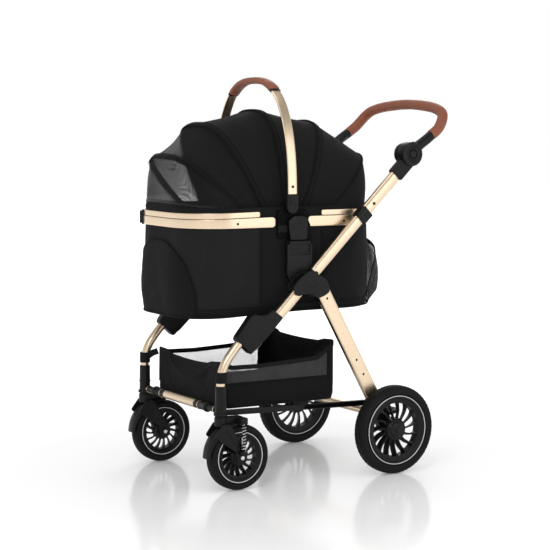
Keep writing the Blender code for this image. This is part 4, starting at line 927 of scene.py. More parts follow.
def make_joints(side, tag):
    x = side * SIDE_X
    clamp = [(-0.1360, 0.4700), (-0.1060, 0.4480), (-0.1280, 0.4240), (-0.1575, 0.3950), (-0.2040, 0.3560), (-0.2480, 0.3960),
             (-0.2440, 0.4060), (-0.2040, 0.4560), (-0.1920, 0.4610), (-0.1700, 0.4570), (-0.1560, 0.4580)]
    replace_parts(ride(side_prism(f"knuckle_shell_{tag}", rounded(clamp[::-1], 0.0045, 6), *sorted((side * 0.2008, side * 0.2275)),
                                PLASTIC, bevel=0.0035), "frame"), f"knuckle_{tag}")
    ridge = [(-0.1840, 0.4480), (-0.1650, 0.4380), (-0.1990, 0.3980), (-0.2300, 0.3980), (-0.2330, 0.4060), (-0.2010, 0.4460)]
    ride(side_prism(f"knuckle_ridge_{tag}", rounded(ridge[::-1], 0.005, 5), *sorted((side * 0.2268, side * 0.2285)), PLASTIC,
                    bevel=0.0012), "frame")
    for i, at in enumerate(((-0.1330, 0.4430), (-0.2060, 0.3780))):
        screw(f"knuckle_screw_{i}_{tag}", (side * 0.2272, *at), side, 0.0034, SATIN_PLASTIC, "frame")
    ride(refined(f"collar_{tag}", PLASTIC, 0.0012), "handle_slide")
    lever = rounded([from_hub(TUBE_ANGLE, *at) for at in ((0.203, -0.0125), (0.233, -0.0140), (0.233, 0.0130), (0.203, 0.0125))], 0.004, 4)
    low, high = sorted((side * 0.2270, side * 0.2292))
    ride(side_prism(f"collar_plate_{tag}", lever, low, high, SATIN_PLASTIC, bevel=0.0008), "handle_slide")
    screw(f"collar_screw_{tag}", (side * 0.2290, *from_hub(TUBE_ANGLE, 0.218)), side, 0.0034, SATIN_PLASTIC, "handle_slide")
    ride(refined(f"handle_bracket_{tag}", PLASTIC, 0.0016), "handle_slide")
    rim = [(0.0, 0.0130), (0.0, 0.0325), (0.0012, 0.0318), (0.0020, 0.0290), (0.0020, 0.0232), (0.0006, 0.0222), (0.0006, 0.0172),
           (0.0020, 0.0162), (0.0020, 0.0137)]
    ride(lathe(f"bracket_face_{tag}", rim, (side * 0.2329, *HANDLE_PIVOT), SATIN_PLASTIC, steps=64, sign=side), "handle_slide")
    shape = bmesh.new()
    for k in range(30):
        t = 2 * math.pi * k / 30
        middle = Vector((side * 0.2333, HANDLE_PIVOT[0] + 0.0197 * math.cos(t), HANDLE_PIVOT[1] + 0.0197 * math.sin(t)))
        bmesh.ops.create_cube(shape, size=1, matrix=Matrix.Translation(middle) @ Matrix.Rotation(t, 4, "X") @ Matrix.Diagonal((0.0018, 0.0046, 0.0013, 1)))
    bevel_sharp(shape, 0.0002, 1)
    ride(from_shape(f"bracket_teeth_{tag}", shape, PLASTIC), "handle_slide")
    button = [(-0.0012, 0.0), (-0.0012, 0.0106), (0.0024, 0.0106), (0.0036, 0.0098), (0.0040, 0.0084), (0.0034, 0.0060), (0.0030, 0.0)]
    shell = lathe(f"angle_button_shell_{tag}", button, (side * 0.2322, *HANDLE_PIVOT), SATIN_PLASTIC, steps=40, sign=side, closed=False)
    ride(shell, f"angle_button_{tag}", f"angle_button_{tag}")
    # Cap on the foot of the rear leg, where it enters the axle casting.
    profile = superellipse(0.0118, 0.0222, 4.0, 40)
    ends = [Vector((x, *from_hub(LEG_ANGLE, run))) for run in (0.398, 0.428)]
    across_it = (ends[1] - ends[0]).normalized().cross(Vector((1, 0, 0)))
    ride(sweep(f"leg_foot_cap_{tag}", even(ends, 10), profile, PLASTIC, up=across_it,
               scale=lambda t: (1 - 0.12 * t**3, 1 - 0.10 * t**3)), "rear_legs")
    nut = [(-0.002, 0.0), (-0.002, 0.0085), (0.0008, 0.0085), (0.0014, 0.0075), (0.0014, 0.0)]
    ride(lathe(f"axle_washer_{tag}", nut, (side * 0.2270, *REAR_AXLE), STEEL, steps=32, sign=side, closed=False), "rear_legs")
    cap = [(-0.0010, 0.0), (-0.0010, 0.0078), (0.0006, 0.0076), (0.0013, 0.0060), (0.0014, 0.0)]
    ride(lathe(f"axle_end_{tag}", cap, (side * 0.2735, *REAR_AXLE), SATIN_PLASTIC, steps=32, sign=side, closed=False), "rear_legs")


def make_lower_frame():
    ride(refined("rear_axle", PLASTIC, 0.0012), "rear_legs")
    bar = [(-0.2040, 0.0), (-0.2040, 0.0112), (0.2040, 0.0112), (0.2040, 0.0)]
    ride(lathe("axle_tube_gold", bar, (0, *AXLE_TUBE), GOLD, steps=40, closed=False), "rear_legs")
    ride(refined("brake_pedal", PLASTIC, 0.0012), "brake_pedal")
    y, z = AXLE_TUBE
    for i in range(5):
        start = y + 0.040 + 0.0078 * i
        line = [Vector((px, start, z + 0.0012 + 0.0016 * i)) for px in np.linspace(0.147, 0.184, 12)]
        ride(tube(f"brake_grip_{i}", line, 0.0012, RUBBER, 8), "brake_pedal")
    ride(refined("basket_frame", PLASTIC, 0.0009), "basket_frame")
    # A backing strip behind each rail's slot, clear of the pin that runs in it.
    first, last = Vector((RAIL_PIVOT_Y, 0.2035)), Vector(from_hub(LEG_ANGLE, 0.4225))
    run = (last - first).normalized()
    up = Vector((-run.y, run.x)) * 0.0072
    first, last = first - 0.010 * run, last + 0.013 * run
    for side, tag in SIDES:
        strip = rounded([first - up, last - up, last + up, first + up], 0.004, 4)
        ride(side_prism(f"rail_backing_{tag}", strip, *sorted((side * 0.1916, side * 0.1941)), DARK_PLASTIC, bevel=0.0006), "basket_frame")
    reach = SIDE_X - 0.0188
    half = [(reach, 0.0), (reach, 0.0085), (0.1500, 0.0086), (0.1485, 0.0125), (0.1470, 0.0137), (0.1430, 0.0137), (0.1415, 0.0125),
            (0.1400, 0.0116), (0.0900, 0.0114)]
    profile = [(a, r) for a, r in half] + [(-a, r) for a, r in reversed(half)]
    ride(lathe("front_crossbar_shell", profile, (0, LEG_Y, CROSSBAR_Z), PLASTIC, steps=36, closed=False), "frame", "front_crossbar")
    gold = [(-0.0850, 0.0), (-0.0850, 0.0110), (-0.0840, 0.0118), (0.0840, 0.0118), (0.0850, 0.0110), (0.0850, 0.0)]
    ride(lathe("crossbar_sleeve_shell", gold, (0, LEG_Y, CROSSBAR_Z), GOLD, steps=40, closed=False), "frame", "crossbar_sleeve")
    for side, tag in SIDES:
        for i, (low, high, r) in enumerate(((0.1060, 0.1085, 0.0124), (0.1862, 0.1890, 0.0098))):
            ring = [(low, 0.008), (low, r), (high, r), (high, 0.008)]
            ride(lathe(f"crossbar_ring_{i}_{tag}", ring, (0, LEG_Y, CROSSBAR_Z), GOLD, steps=36, sign=side), "frame")
    clip = rectangle((-0.0105, -0.0085), (0.0105, 0.0085), 0.003)
    place = Vector((-0.124, RAIL_PIVOT_Y, 0.2035))
    frame_band = [place + Vector((0, a, b)) for a, b in superellipse(0.0062, 0.0062, 2, 24)]
    ride(sweep("rod_clip", frame_band, superellipse(0.0070, 0.0008, 4, 12), STEEL, closed=True,
               up=lambda i, p: p - place), "basket_frame")


RAIL_PIVOT_Y = -0.262


# ---- handlebar ----
def make_handlebar():
    path = smooth(HANDLEBAR_LEFT + [(-x, y, z) for x, y, z in reversed(HANDLEBAR_LEFT[:-1])], 10)
    ride(tube("handlebar_bar", path, 0.0090, PLASTIC, 28), "handlebar", "handlebar_tube")
    for side, tag in SIDES:
        low = [(-0.0155, 0.0), (-0.0155, 0.0265), (-0.0140, 0.0292), (-0.0115, 0.0300), (-0.0035, 0.0300), (-0.0010, 0.0290),
               (0.0, 0.0272), (0.0, 0.0)]
        ride(lathe(f"handlebar_disc_{tag}", low, (side * 0.1998, *HANDLE_PIVOT), PLASTIC, steps=56, sign=side, closed=False), "handlebar")
        cap_disc(f"handlebar_inner_cap_{tag}", (side * 0.1845, *HANDLE_PIVOT), 0.0170, -side, "handlebar", height=0.0022)
        start, end = Vector(path[0]), Vector(path[9])
        start.x, end.x = side * start.x, side * end.x
        ride(sweep(f"handlebar_neck_{tag}", even([start, end], 12), superellipse(0.0108, 0.0130, 2.6, 28), PLASTIC), "handlebar")
        bend = [(0.2035, 0.3300, 0.8860), (0.2065, 0.3500, 0.9030), (0.2075, 0.3700, 0.9165), (0.2062, 0.3850, 0.9268)]
        arm = smooth([Vector((side * px, py, pz)) for px, py, pz in bend], 6)
        ride(sweep(f"handlebar_arm_{tag}", even(arm, 20), superellipse(0.0126, 0.0138, 2.3, 32), PLASTIC,
                   scale=lambda t: (0.90 + 0.10 * min(1.0, 6 * t),) * 2), "handlebar")
    grip_path = path[20:-20]
    count = len(grip_path)
    total = line_length(grip_path)

    def swell(t):
        end = min(t, 1 - t) * total
        close = 0.80 + 0.20 * math.sqrt(max(0.0, 1 - (1 - min(end / 0.006, 1)) ** 2))
        return (close * (1 + 0.010 * math.sin(23 * t) + 0.008 * math.sin(61 * t + 1)),) * 2

    fine = even(grip_path, 220)
    grip = sweep("handlebar_leather", fine, superellipse(0.0145, 0.0145, 2, 40), LEATHER, scale=swell)
    ride(grip, "handlebar", "handlebar_grip")
    # The seam runs along the inside of the bend, with a row of stitches on each side of it.
    middle = Vector((0, 0.36, 0.935))
    for name, turn, depth, material, size in (("seam", 0.0, 0.0143, TAN_THREAD, 0.0010),):
        line = []
        for i, p in enumerate(fine[3:-3]):
            along = (fine[i + 4] - fine[i + 2]).normalized()
            inward = middle - p
            inward = (inward - along * inward.dot(along)).normalized()
            line.append(p + inward * depth)
        ride(tube(f"handlebar_{name}", line, size, material, 8), "handlebar")
    for which, turn in (("upper", 0.26), ("lower", -0.26)):
        line = []
        for i, p in enumerate(fine[3:-3]):
            along = (fine[i + 4] - fine[i + 2]).normalized()
            inward = middle - p
            inward = (inward - along * inward.dot(along)).normalized()
            inward = Matrix.Rotation(turn, 3, along) @ inward
            line.append(p + inward * 0.0148)
        ride(beads(f"handlebar_stitches_{which}", line, 0.0034, 0.00055, 0.0016, TAN_THREAD), "handlebar")
    for side, tag in SIDES:
        ends = fine[:3] if side > 0 else fine[-3:]
        middle_point = Vector(ends[0] if side > 0 else ends[-1])
        along = (ends[1] - ends[0]).normalized()
        ring = [middle_point - along * side * 0.0022, middle_point + along * side * 0.0030]
        ride(sweep(f"grip_ring_{tag}", even(ring, 6), superellipse(0.0139, 0.0139, 2, 36), SATIN_PLASTIC,
                   scale=lambda t: (1 - 0.06 * abs(2 * t - 1) ** 3,) * 2), "handlebar")


# ---- carrier ----
def plan_frame(points, closed=True):
    """Each plan point with its outward normal."""
    count = len(points)
    found = []
    for i, p in enumerate(points):
        before, after = points[i - 1 if closed or i else i], points[(i + 1) % count if closed else min(i + 1, count - 1)]
        along = (after - before).normalized()
        normal = Vector((along.y, -along.x))
        if normal.dot(p - Vector((0, CARRIER_Y)) * 1.0) < 0:
            normal = -normal
        found.append((p, normal))
    return found


SEAM_YS = (-0.1496, 0.0432)


def tub_bulge(point, normal, z):
    """How far the tub's soft wall stands out at a place on its plan."""
    low, high = TUB_Z[0] + 0.004, RIM_Z[0] + 0.002
    if not low < z < high:
        return 0.0
    share = math.sin(math.pi * (z - low) / (high - low))
    out = 0.0030 * share**0.7
    place = (point.x, point.y, z * 0.55)
    out += share * (wobble(place, 13, 0.0022, 3.1) + wobble(place, 34, 0.0009, 5.2))
    if abs(normal.x) > 0.97:
        for y in SEAM_YS:
            out -= 0.0020 * math.exp(-(((point.y - y) / 0.0075) ** 2)) * min(1, 3 * share)
    return out


def make_tub():
    plan = plan_frame(carrier_plan(0.0, 420))
    profile = [(-0.118, 0.4560), (-0.090, 0.4558), (-0.060, 0.4556), (-0.030, 0.4554), (-0.012, 0.4554), (-0.0055, 0.4565),
               (-0.0015, 0.4600), (0.0, 0.4650)]
    profile += [(0.0, 0.4650 + (0.735 - 0.4650) * i / 30) for i in range(1, 31)]
    profile += [(-0.0020, 0.7358), (-0.0040, 0.7350)]
    profile += [(-0.0044, 0.7250 - 0.2550 * i / 16) for i in range(17)]
    profile += [(-0.012, 0.4640), (-0.040, 0.4625), (-0.080, 0.4622), (-0.118, 0.4622)]
    rows = []
    for k, (out, z) in enumerate(profile):
        row = []
        for p, n in plan:
            bulge = tub_bulge(p, n, z) if k > 6 and out > -0.001 else 0.0
            q = p + n * (out + bulge)
            row.append(Vector((q.x, q.y, z)))
        rows.append(row)
    tub = grid("tub_shell", rows, FABRIC, wrap_u=True, cap=True, sharp=60)
    # Painted sheen: the tub's front section takes the lighter copy of the black fabric.
    tub.data.materials.append(PAINTED_SHEEN_FABRIC)
    for face in tub.data.polygons:
        if face.center.y < SEAM_YS[0] and face.center.z > 0.47 and abs(face.center.x) > 0.06:
            face.material_index = 1
    ride(tub, "carrier", "carrier_tub")
    for name, out, z, r in (("bottom_piping", 0.0015, 0.4615, 0.0025), ("band_piping", 0.0026, 0.4790, 0.0014),
                            ("top_piping", -0.0018, 0.7360, 0.0022)):
        line = []
        for p, n in plan[::2]:
            flare = 0.0035 * n.y**2 if name == "bottom_piping" else 0.0
            q = p + n * (out + flare + tub_bulge(p, n, z))
            line.append(Vector((q.x, q.y, z)))
        ride(tube(f"tub_{name}", line, r, BINDING, 10, closed=True, up=(0, 0, 1)), "carrier")
    for side, tag in SIDES:
        for i, y in enumerate(SEAM_YS):
            for j, shift in enumerate((-0.0035, 0.0035)):
                line = []
                for z in np.linspace(0.480, 0.683, 46):
                    p, n = Vector((side * TUB_HALF[0], y + shift)), Vector((side, 0))
                    line.append(Vector((p.x + side * (tub_bulge(p, n, z) + 0.0003), p.y, z)))
                ride(tube(f"tub_seam_{i}_{j}_{tag}", line, 0.0009, BINDING, 8, up=(side, 0, 0)), "carrier")
                if j == 0:
                    thread = [q + Vector((side * 0.0004, 0.0035, 0)) for q in line]
                    ride(beads(f"tub_stitch_{i}_{tag}", thread, 0.0030, 0.0004, 0.0018, THREAD), "carrier")


def make_pocket(name, front, half_width, top, depth, open_top, material):
    """A pocket over one end of the tub, its edge an arch, with a double bound rim."""
    base = TUB_Z[0] + 0.008
    line = [p for p in plan_between(front, CARRIER_Y, 0.0, 1200) if abs(p.x) <= half_width + 1e-6]
    columns, steps = 72, 26
    framed = plan_frame(even([Vector((p.x, p.y)) for p in line], columns), closed=False)
    rows = []
    for j in range(steps + 1):
        t = j / steps
        row = []
        for i, (p, n) in enumerate(framed):
            s = 2 * i / columns - 1
            tall = (top - base) * max(0.0, 1 - min(1.0, abs(p.x) / half_width) ** 2.4) ** (1 / 2.4)
            z = base + t * tall
            round_off = max(0.0, 1 - abs(s) ** 3.5)
            belly = math.sin(math.pi * (0.10 + 0.78 * t)) ** 0.8
            swell = depth * round_off * (belly * (1 - open_top) + open_top * min(1.0, 3.2 * t + 0.25) * (0.75 + 0.25 * belly))
            swell += round_off * (wobble((p.x, p.y, z * 0.7), 22, 0.0016, 9.0) + wobble((p.x * 0.6, p.y, z), 48, 0.0007, 4.0))
            out = tub_bulge(p, n, z) + 0.0012 + max(0.0, swell)
            q = p + n * out
            row.append(Vector((q.x, q.y, z)))
        rows.append(row)
    trimmed = [row[1:-1] for row in rows]
    pocket = grid(f"{name}_panel", trimmed, material, thick=0.0009)
    ride(pocket, "carrier")
    edge = rows[-1]
    normals = [Vector((n.x, n.y, 0)) for _, n in framed]
    outer = sweep(f"{name}_binding", edge, superellipse(0.0013, 0.0048, 3, 14), BINDING,
                  up=lambda i, p: Vector((0, 0, 1)) if 3 < i < columns - 3 else normals[i].cross(edge[min(i + 1, columns)] - edge[max(i - 1, 0)]))
    ride(outer, "carrier")
    second = [Vector(a).lerp(Vector(b), 0.10) + n * 0.0008 for a, b, n in zip(edge, rows[0], normals)]
    ride(tube(f"{name}_piping", second[2:-2], 0.0012, BINDING, 8), "carrier")
    thread = [Vector(a).lerp(Vector(b), 0.055) + n * 0.0008 for a, b, n in zip(edge, rows[0], normals)]
    ride(beads(f"{name}_stitches", thread[2:-2], 0.0032, 0.00045, 0.0020, THREAD), "carrier")
    foot = [Vector(p) + n * 0.0006 for p, n in zip(rows[0], normals)]
    ride(tube(f"{name}_foot", foot, 0.0018, BINDING, 8, up=(0, 0, 1)), "carrier")
    declare(pocket, trimmed)


def make_mat():
    outline = [tuple(p) for p in carrier_plan(-0.0115, 120)]
    mat = flat_prism("mat_cushion", outline, 0.4640, 0.4840, FABRIC, bevel=0.006)
    ride(inflate(mat, 0.0075, 3.0, 0.003, 14), "carrier", "carrier_mat")
    line = [Vector((p.x, p.y, 0.4745)) for p in carrier_plan(-0.0085, 150)]
    ride(tube("mat_piping", line, 0.0021, BINDING, 10, closed=True, up=(0, 0, 1)), "carrier")


def droop():
    """The soft tub hangs lower under its front end, up to 12 mm at the bottom and nothing at the rim."""
    for obj in bpy.data.objects:
        if obj.name.startswith(("tub_", "front_pocket", "mat_")):
            count = len(obj.data.vertices)
            co = np.empty(3 * count)
            obj.data.vertices.foreach_get("co", co)
            co = co.reshape(-1, 3)
            forward = np.clip((-0.01 - co[:, 1]) / 0.34, 0, 1.1) ** 1.25
            co[:, 2] -= 0.0120 * forward * np.clip((0.690 - co[:, 2]) / 0.235, 0, 1)
            obj.data.vertices.foreach_set("co", co.ravel())
            obj.data.update()


def make_rim(name, front, ends, node):
    bands = ((RIM_Z[0], RIM_Z[1] - 0.0005, 0.0030, 0.0027, ends[0]), (RIM_Z[1] + 0.0006, RIM_Z[2], 0.0024, 0.0020, ends[1]))
    for k, (low, high, middle, half_thick, end) in enumerate(bands):
        plan = plan_between(front, end, middle, 200)
        half = (high - low) / 2
        path = [Vector((p.x, p.y, (low + high) / 2)) for p in plan]
        total = line_length(path)

        def close(t, half=half, total=total):
            d = min(t, 1 - t) * total
            r = 0.72 * half
            share = 0.45 + 0.55 * math.sqrt(max(0.0, 1 - (1 - min(d / r, 1)) ** 2))
            return (0.55 + 0.45 * share, share)

        fine = [path[0].lerp(path[1], f) for f in (0, 0.12, 0.3, 0.55, 0.8)] + path[1:-1] + \
               [path[-2].lerp(path[-1], f) for f in (0.2, 0.45, 0.7, 0.88, 1.0)]
        lengths = np.cumsum([0] + [(b - a).length for a, b in zip(fine, fine[1:])]) / total
        count = len(fine) - 1
        band = sweep(f"{name}_band_{k}", fine, superellipse(half_thick, half, 7, 44), GOLD, up=(0, 0, 1),
                     scale=lambda t: close(float(lengths[min(count, round(t * count))])))
        count = len(band.data.vertices)
        for v in band.data.vertices:
            v.co.z -= 0.0045 * max(0.0, (-0.10 - v.co.y) / 0.25) * min(1.0, (v.co.z - RIM_Z[0]) / 0.02)
        ride(band, "carrier", *([node] if k == 0 else []))
    mid_z = RIM_Z[1]
    groove = [Vector((p.x, p.y, mid_z)) for p in plan_between(front, ends[1], 0.0012, 160)]
    ride(sweep(f"{name}_groove", groove, superellipse(0.0010, 0.0016, 3, 10), PLASTIC, up=(0, 0, 1)), "carrier")


def make_rims():
    make_rim("rim_front", True, (-0.108, -0.155), "rim_front")
    make_rim("rim_back", False, (-0.004, 0.039), "rim_back")
    for side, tag in SIDES:
        for i, (y, z) in enumerate(((-0.2233, 0.696), (0.1102, 0.696))):
            screw(f"rim_screw_{i}_{tag}", (side * (TUB_HALF[0] + 0.0052), y, z), side, 0.0036, SATIN_PLASTIC, "carrier")


def make_latch():
    """The small catch on the front of the rim, off its middle."""
    place = Matrix.Translation((-0.128, -0.3445, 0.7020)) @ Matrix.Rotation(math.radians(-32), 4, "Z")
    for name, half, out, material in (("back", (0.0150, 0.0035, 0.0200), -0.0030, PLASTIC), ("lever", (0.0105, 0.0035, 0.0170), -0.0085, SATIN_PLASTIC)):
        outline = rectangle((-half[0], -half[2]), (half[0], half[2]), 0.005, 5)
        ride(prism(f"rim_latch_{name}", outline, lambda a, b, d: place @ Vector((a, d, b)), out + 0.0085 - half[1], out + 0.0085 + half[1], material,
                   bevel=0.0014), "carrier")


def make_brackets(side, tag):
    ride(refined(f"carrier_bracket_{tag}", DARK_PLASTIC, 0.0012), "carrier")
    low, high = sorted((side * 0.1984, side * 0.2003))
    raised = rounded([(-0.0680, 0.6500), (-0.0160, 0.6500), (-0.0160, 0.6700), (-0.0145, 0.7080), (-0.0300, 0.7130), (-0.0600, 0.7130), (-0.0745, 0.7000), (-0.0740, 0.6850)], 0.008, 6)
    ride(side_prism(f"bracket_panel_{tag}", raised, low, high, PLASTIC, bevel=0.0009), "carrier")
    screw(f"bracket_screw_{tag}", (side * 0.2002, -0.0370, 0.6960), side, 0.0026, PLASTIC, "carrier")
    for i, (y, z) in enumerate(((-0.0950, 0.7220), (-0.0950, 0.6620), (-0.0170, 0.7220))):
        screw(f"bracket_rivet_{i}_{tag}", (side * 0.1879, y, z), side, 0.0024, SATIN_PLASTIC, "carrier")
    tab = [Vector((side * 0.1890, y, 0.6800)) for y in np.linspace(-0.1010, -0.0730, 10)]
    ride(sweep(f"bracket_strap_{tag}", tab, superellipse(0.0008, 0.0095, 4, 14), WEBBING, up=(0, 0, 1)), "carrier")


# ---- carry handle ----
def make_carry_handle():
    arch = [Vector((x, CARRY_Y, CARRY_Z + s)) for x, s in superarch(CARRY_HALF_WIDTH, CARRY_HEIGHT, CARRY_EXPONENT, 400, 0.0265)]
    path = even(arch, 150)
    ride(sweep("carry_arch_band", path, superellipse(0.0030, 0.0140, 4.5, 36), GOLD, up=(0, 1, 0)), "carry_handle", "carry_arch")
    held = even([p for p in arch if -0.114 <= p.x <= 0.104], 120)
    total = line_length(held)

    def swell(t):
        end = min(t, 1 - t) * total
        close = 0.74 + 0.26 * math.sqrt(max(0.0, 1 - (1 - min(end / 0.010, 1)) ** 2))
        return (close * (1 + 0.025 * math.sin(19 * t) + 0.015 * math.sin(47 * t + 2)), close * (1 + 0.012 * math.sin(31 * t + 1)))

    grip = sweep("carry_leather", held, superellipse(0.0088, 0.0168, 2.5, 40), LEATHER, up=(0, 1, 0), scale=swell)
    settle(grip, 14, pressure=2.0, cap=0.0016, pinned=lambda co: abs(co.x) > 0.095)
    ride(grip, "carry_handle", "carry_grip")
    centre = Vector((0, CARRY_Y, CARRY_Z + 0.10))
    for which, y_shift, depth, kind in (("front", -0.0130, 0.0062, "beads"), ("rear", 0.0130, 0.0062, "beads"), ("middle", 0.0, 0.0089, "seam")):
        for where, sign in (("under", -1), ("over", 1)):
            if kind == "seam" and where == "over":
                continue
            line = []
            for i, p in enumerate(held[3:-3]):
                along = (held[i + 4] - held[i + 2]).normalized()
                out = along.cross(Vector((0, 1, 0)))
                out = -out if out.dot(p - centre) < 0 else out
                line.append(p + out * sign * depth + Vector((0, y_shift, 0)))
            if kind == "seam":
                ride(tube("carry_seam", line, 0.0010, TAN_THREAD, 8), "carry_handle")
            elif where == "under" or y_shift:
                ride(beads(f"carry_stitches_{where}_{which}", line, 0.0034, 0.0005, 0.0016, TAN_THREAD), "carry_handle")
    for index, tag in ((0, "left"), (-1, "right")):
        end = held[index]
        along = (held[1] - held[0]).normalized() if index == 0 else (held[-1] - held[-2]).normalized()
        out = -along if index == 0 else along
        ring = even([end - out * 0.002, end + out * 0.0045], 6)
        ride(sweep(f"carry_cuff_{tag}", ring, superellipse(0.0058, 0.0160, 3, 30), SATIN_PLASTIC, up=(0, 1, 0)), "carry_handle")
    half = 0.0170
    for side, tag in SIDES:
        lower = [(CARRY_Y + half * math.cos(a), CARRY_Z + half * math.sin(a)) for a in np.linspace(math.pi, 2 * math.pi, 20)]
        outline = [*lower, (CARRY_Y + half, CARRY_Z + 0.0320), (CARRY_Y + half - 0.003, CARRY_Z + 0.0352),
                   (CARRY_Y - half + 0.003, CARRY_Z + 0.0352), (CARRY_Y - half, CARRY_Z + 0.0320)]
        low, high = sorted((side * 0.1880, side * 0.2003))
        ride(side_prism(f"carry_socket_{tag}", outline, low, high, PLASTIC, bevel=0.0022), "carry_handle")
        frame_ring = rectangle((CARRY_Y - 0.0118, CARRY_Z + 0.0042), (CARRY_Y + 0.0118, CARRY_Z + 0.0278), 0.003, 5)
        low, high = sorted((side * 0.1998, side * 0.2010))
        ride(side_prism(f"carry_button_frame_{tag}", frame_ring, low, high, SATIN_PLASTIC, bevel=0.0006), "carry_handle")
        square = rectangle((CARRY_Y - 0.0080, CARRY_Z + 0.0080), (CARRY_Y + 0.0080, CARRY_Z + 0.0240), 0.0022, 5)
        low, high = sorted((side * 0.2000, side * 0.2026))
        ride(side_prism(f"carry_button_shell_{tag}", square, low, high, PLASTIC, bevel=0.0010), f"carry_button_{tag}", f"carry_button_{tag}")
        spot = next(p for p in path if p.z > 0.791) if side > 0 else next(p for p in reversed(path) if p.z > 0.791)
        hole = [(-0.0008, 0.0), (-0.0008, 0.0036), (0.0004, 0.0036), (0.0006, 0.0030), (-0.0003, 0.0024), (-0.0003, 0.0)]
        ride(lathe(f"carry_hole_{tag}", hole, (spot.x + side * 0.0042, *spot.yz), PLASTIC, steps=24, sign=side, closed=False), "carry_handle")


# ---- canopy ----
def fan_blend(obj, fixed_degrees, moving_degrees):
    """Bakes the panel's transform into its mesh; its points are read but left where they are."""
    tuple(bow_matrix(fixed_degrees) @ Vector((0, 0.3, 0)))
    tuple(bow_matrix(moving_degrees) @ Vector((0, 0.3, 0)))
    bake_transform(obj)
    count = len(obj.data.vertices)
    co = np.empty(3 * count)
    obj.data.vertices.foreach_get("co", co)
    co = co.reshape(-1, 3)


def fan_rows(first, second, count=14, sag=0.013, foot_z=0.729):
    rows = []
    for i in range(count + 1):
        f = i / count
        degrees, height, exponent = (a + (b - a) * f for a, b in zip(first, second))
        pull = sag * math.sin(math.pi * f) ** 0.85
        line = bow_line(degrees, height - pull + 0.0012, exponent, 0.1722 - pull / 3.5, foot_z)
        edge = math.sin(math.pi * f)
        for k, p in enumerate(line):
            q = abs(2 * k / (len(line) - 1) - 1)
            crease = 0.0012 * q**2 * math.sin(2 * math.pi * (2.5 * f + 0.15 * math.sin(9 * q)))
            out = (p - Vector((0, *BOW_PIVOT))).normalized()
            line[k] = p + out * edge * (wobble(p, 15, 0.0022, first[0] / 10) + crease)
        rows.append(line)
    return rows


def make_channel(number, bow, body, node, seams):
    """The sewn channel over a bow: a raised round sleeve with seams beside it, and the bow's steel feet."""
    degrees, height, exponent = bow
    line = bow_line(degrees, height + 0.0008, exponent, 0.1712, 0.724, 130)
    pivot = Vector((0, *BOW_PIVOT))
    matrix = bow_matrix(degrees)
    square = Vector(matrix.col[2][:3])
    channel = sweep(f"bow_channel_{number}", line, superellipse(0.0034, 0.0072, 2.2, 20), BINDING,
                    up=lambda i, p: square)
    ride(channel, body, node)
    for k, shift in enumerate(seams):
        edge = bow_line(degrees, height + 0.0022, exponent, 0.1724, 0.728, 110, shift)
        ride(tube(f"bow_seam_{number}_{k}", edge, 0.0011, BINDING, 8), body)
    shape = bmesh.new()
    for side, tag in SIDES:
        eye_x = side * BOW_EYE_X[number - 1]
        top = Vector(line[0] if side > 0 else line[-1])
        foot = Vector((eye_x, *BOW_PIVOT))
        leg = [foot.lerp(top, t) for t in np.linspace(0.0, 1.0, 10)]
        ride(sweep(f"bow_foot_{number}_{tag}", leg, superellipse(0.0012, 0.0040, 4, 12), STEEL, up=lambda i, p: square), body)
        eye = [(-0.0013, 0.0063), (-0.0013, 0.0108), (0.0013, 0.0108), (0.0013, 0.0063)]
        ride(lathe(f"bow_eye_{number}_{tag}", eye, (eye_x, *BOW_PIVOT), STEEL, steps=28), body)
    shape.free()


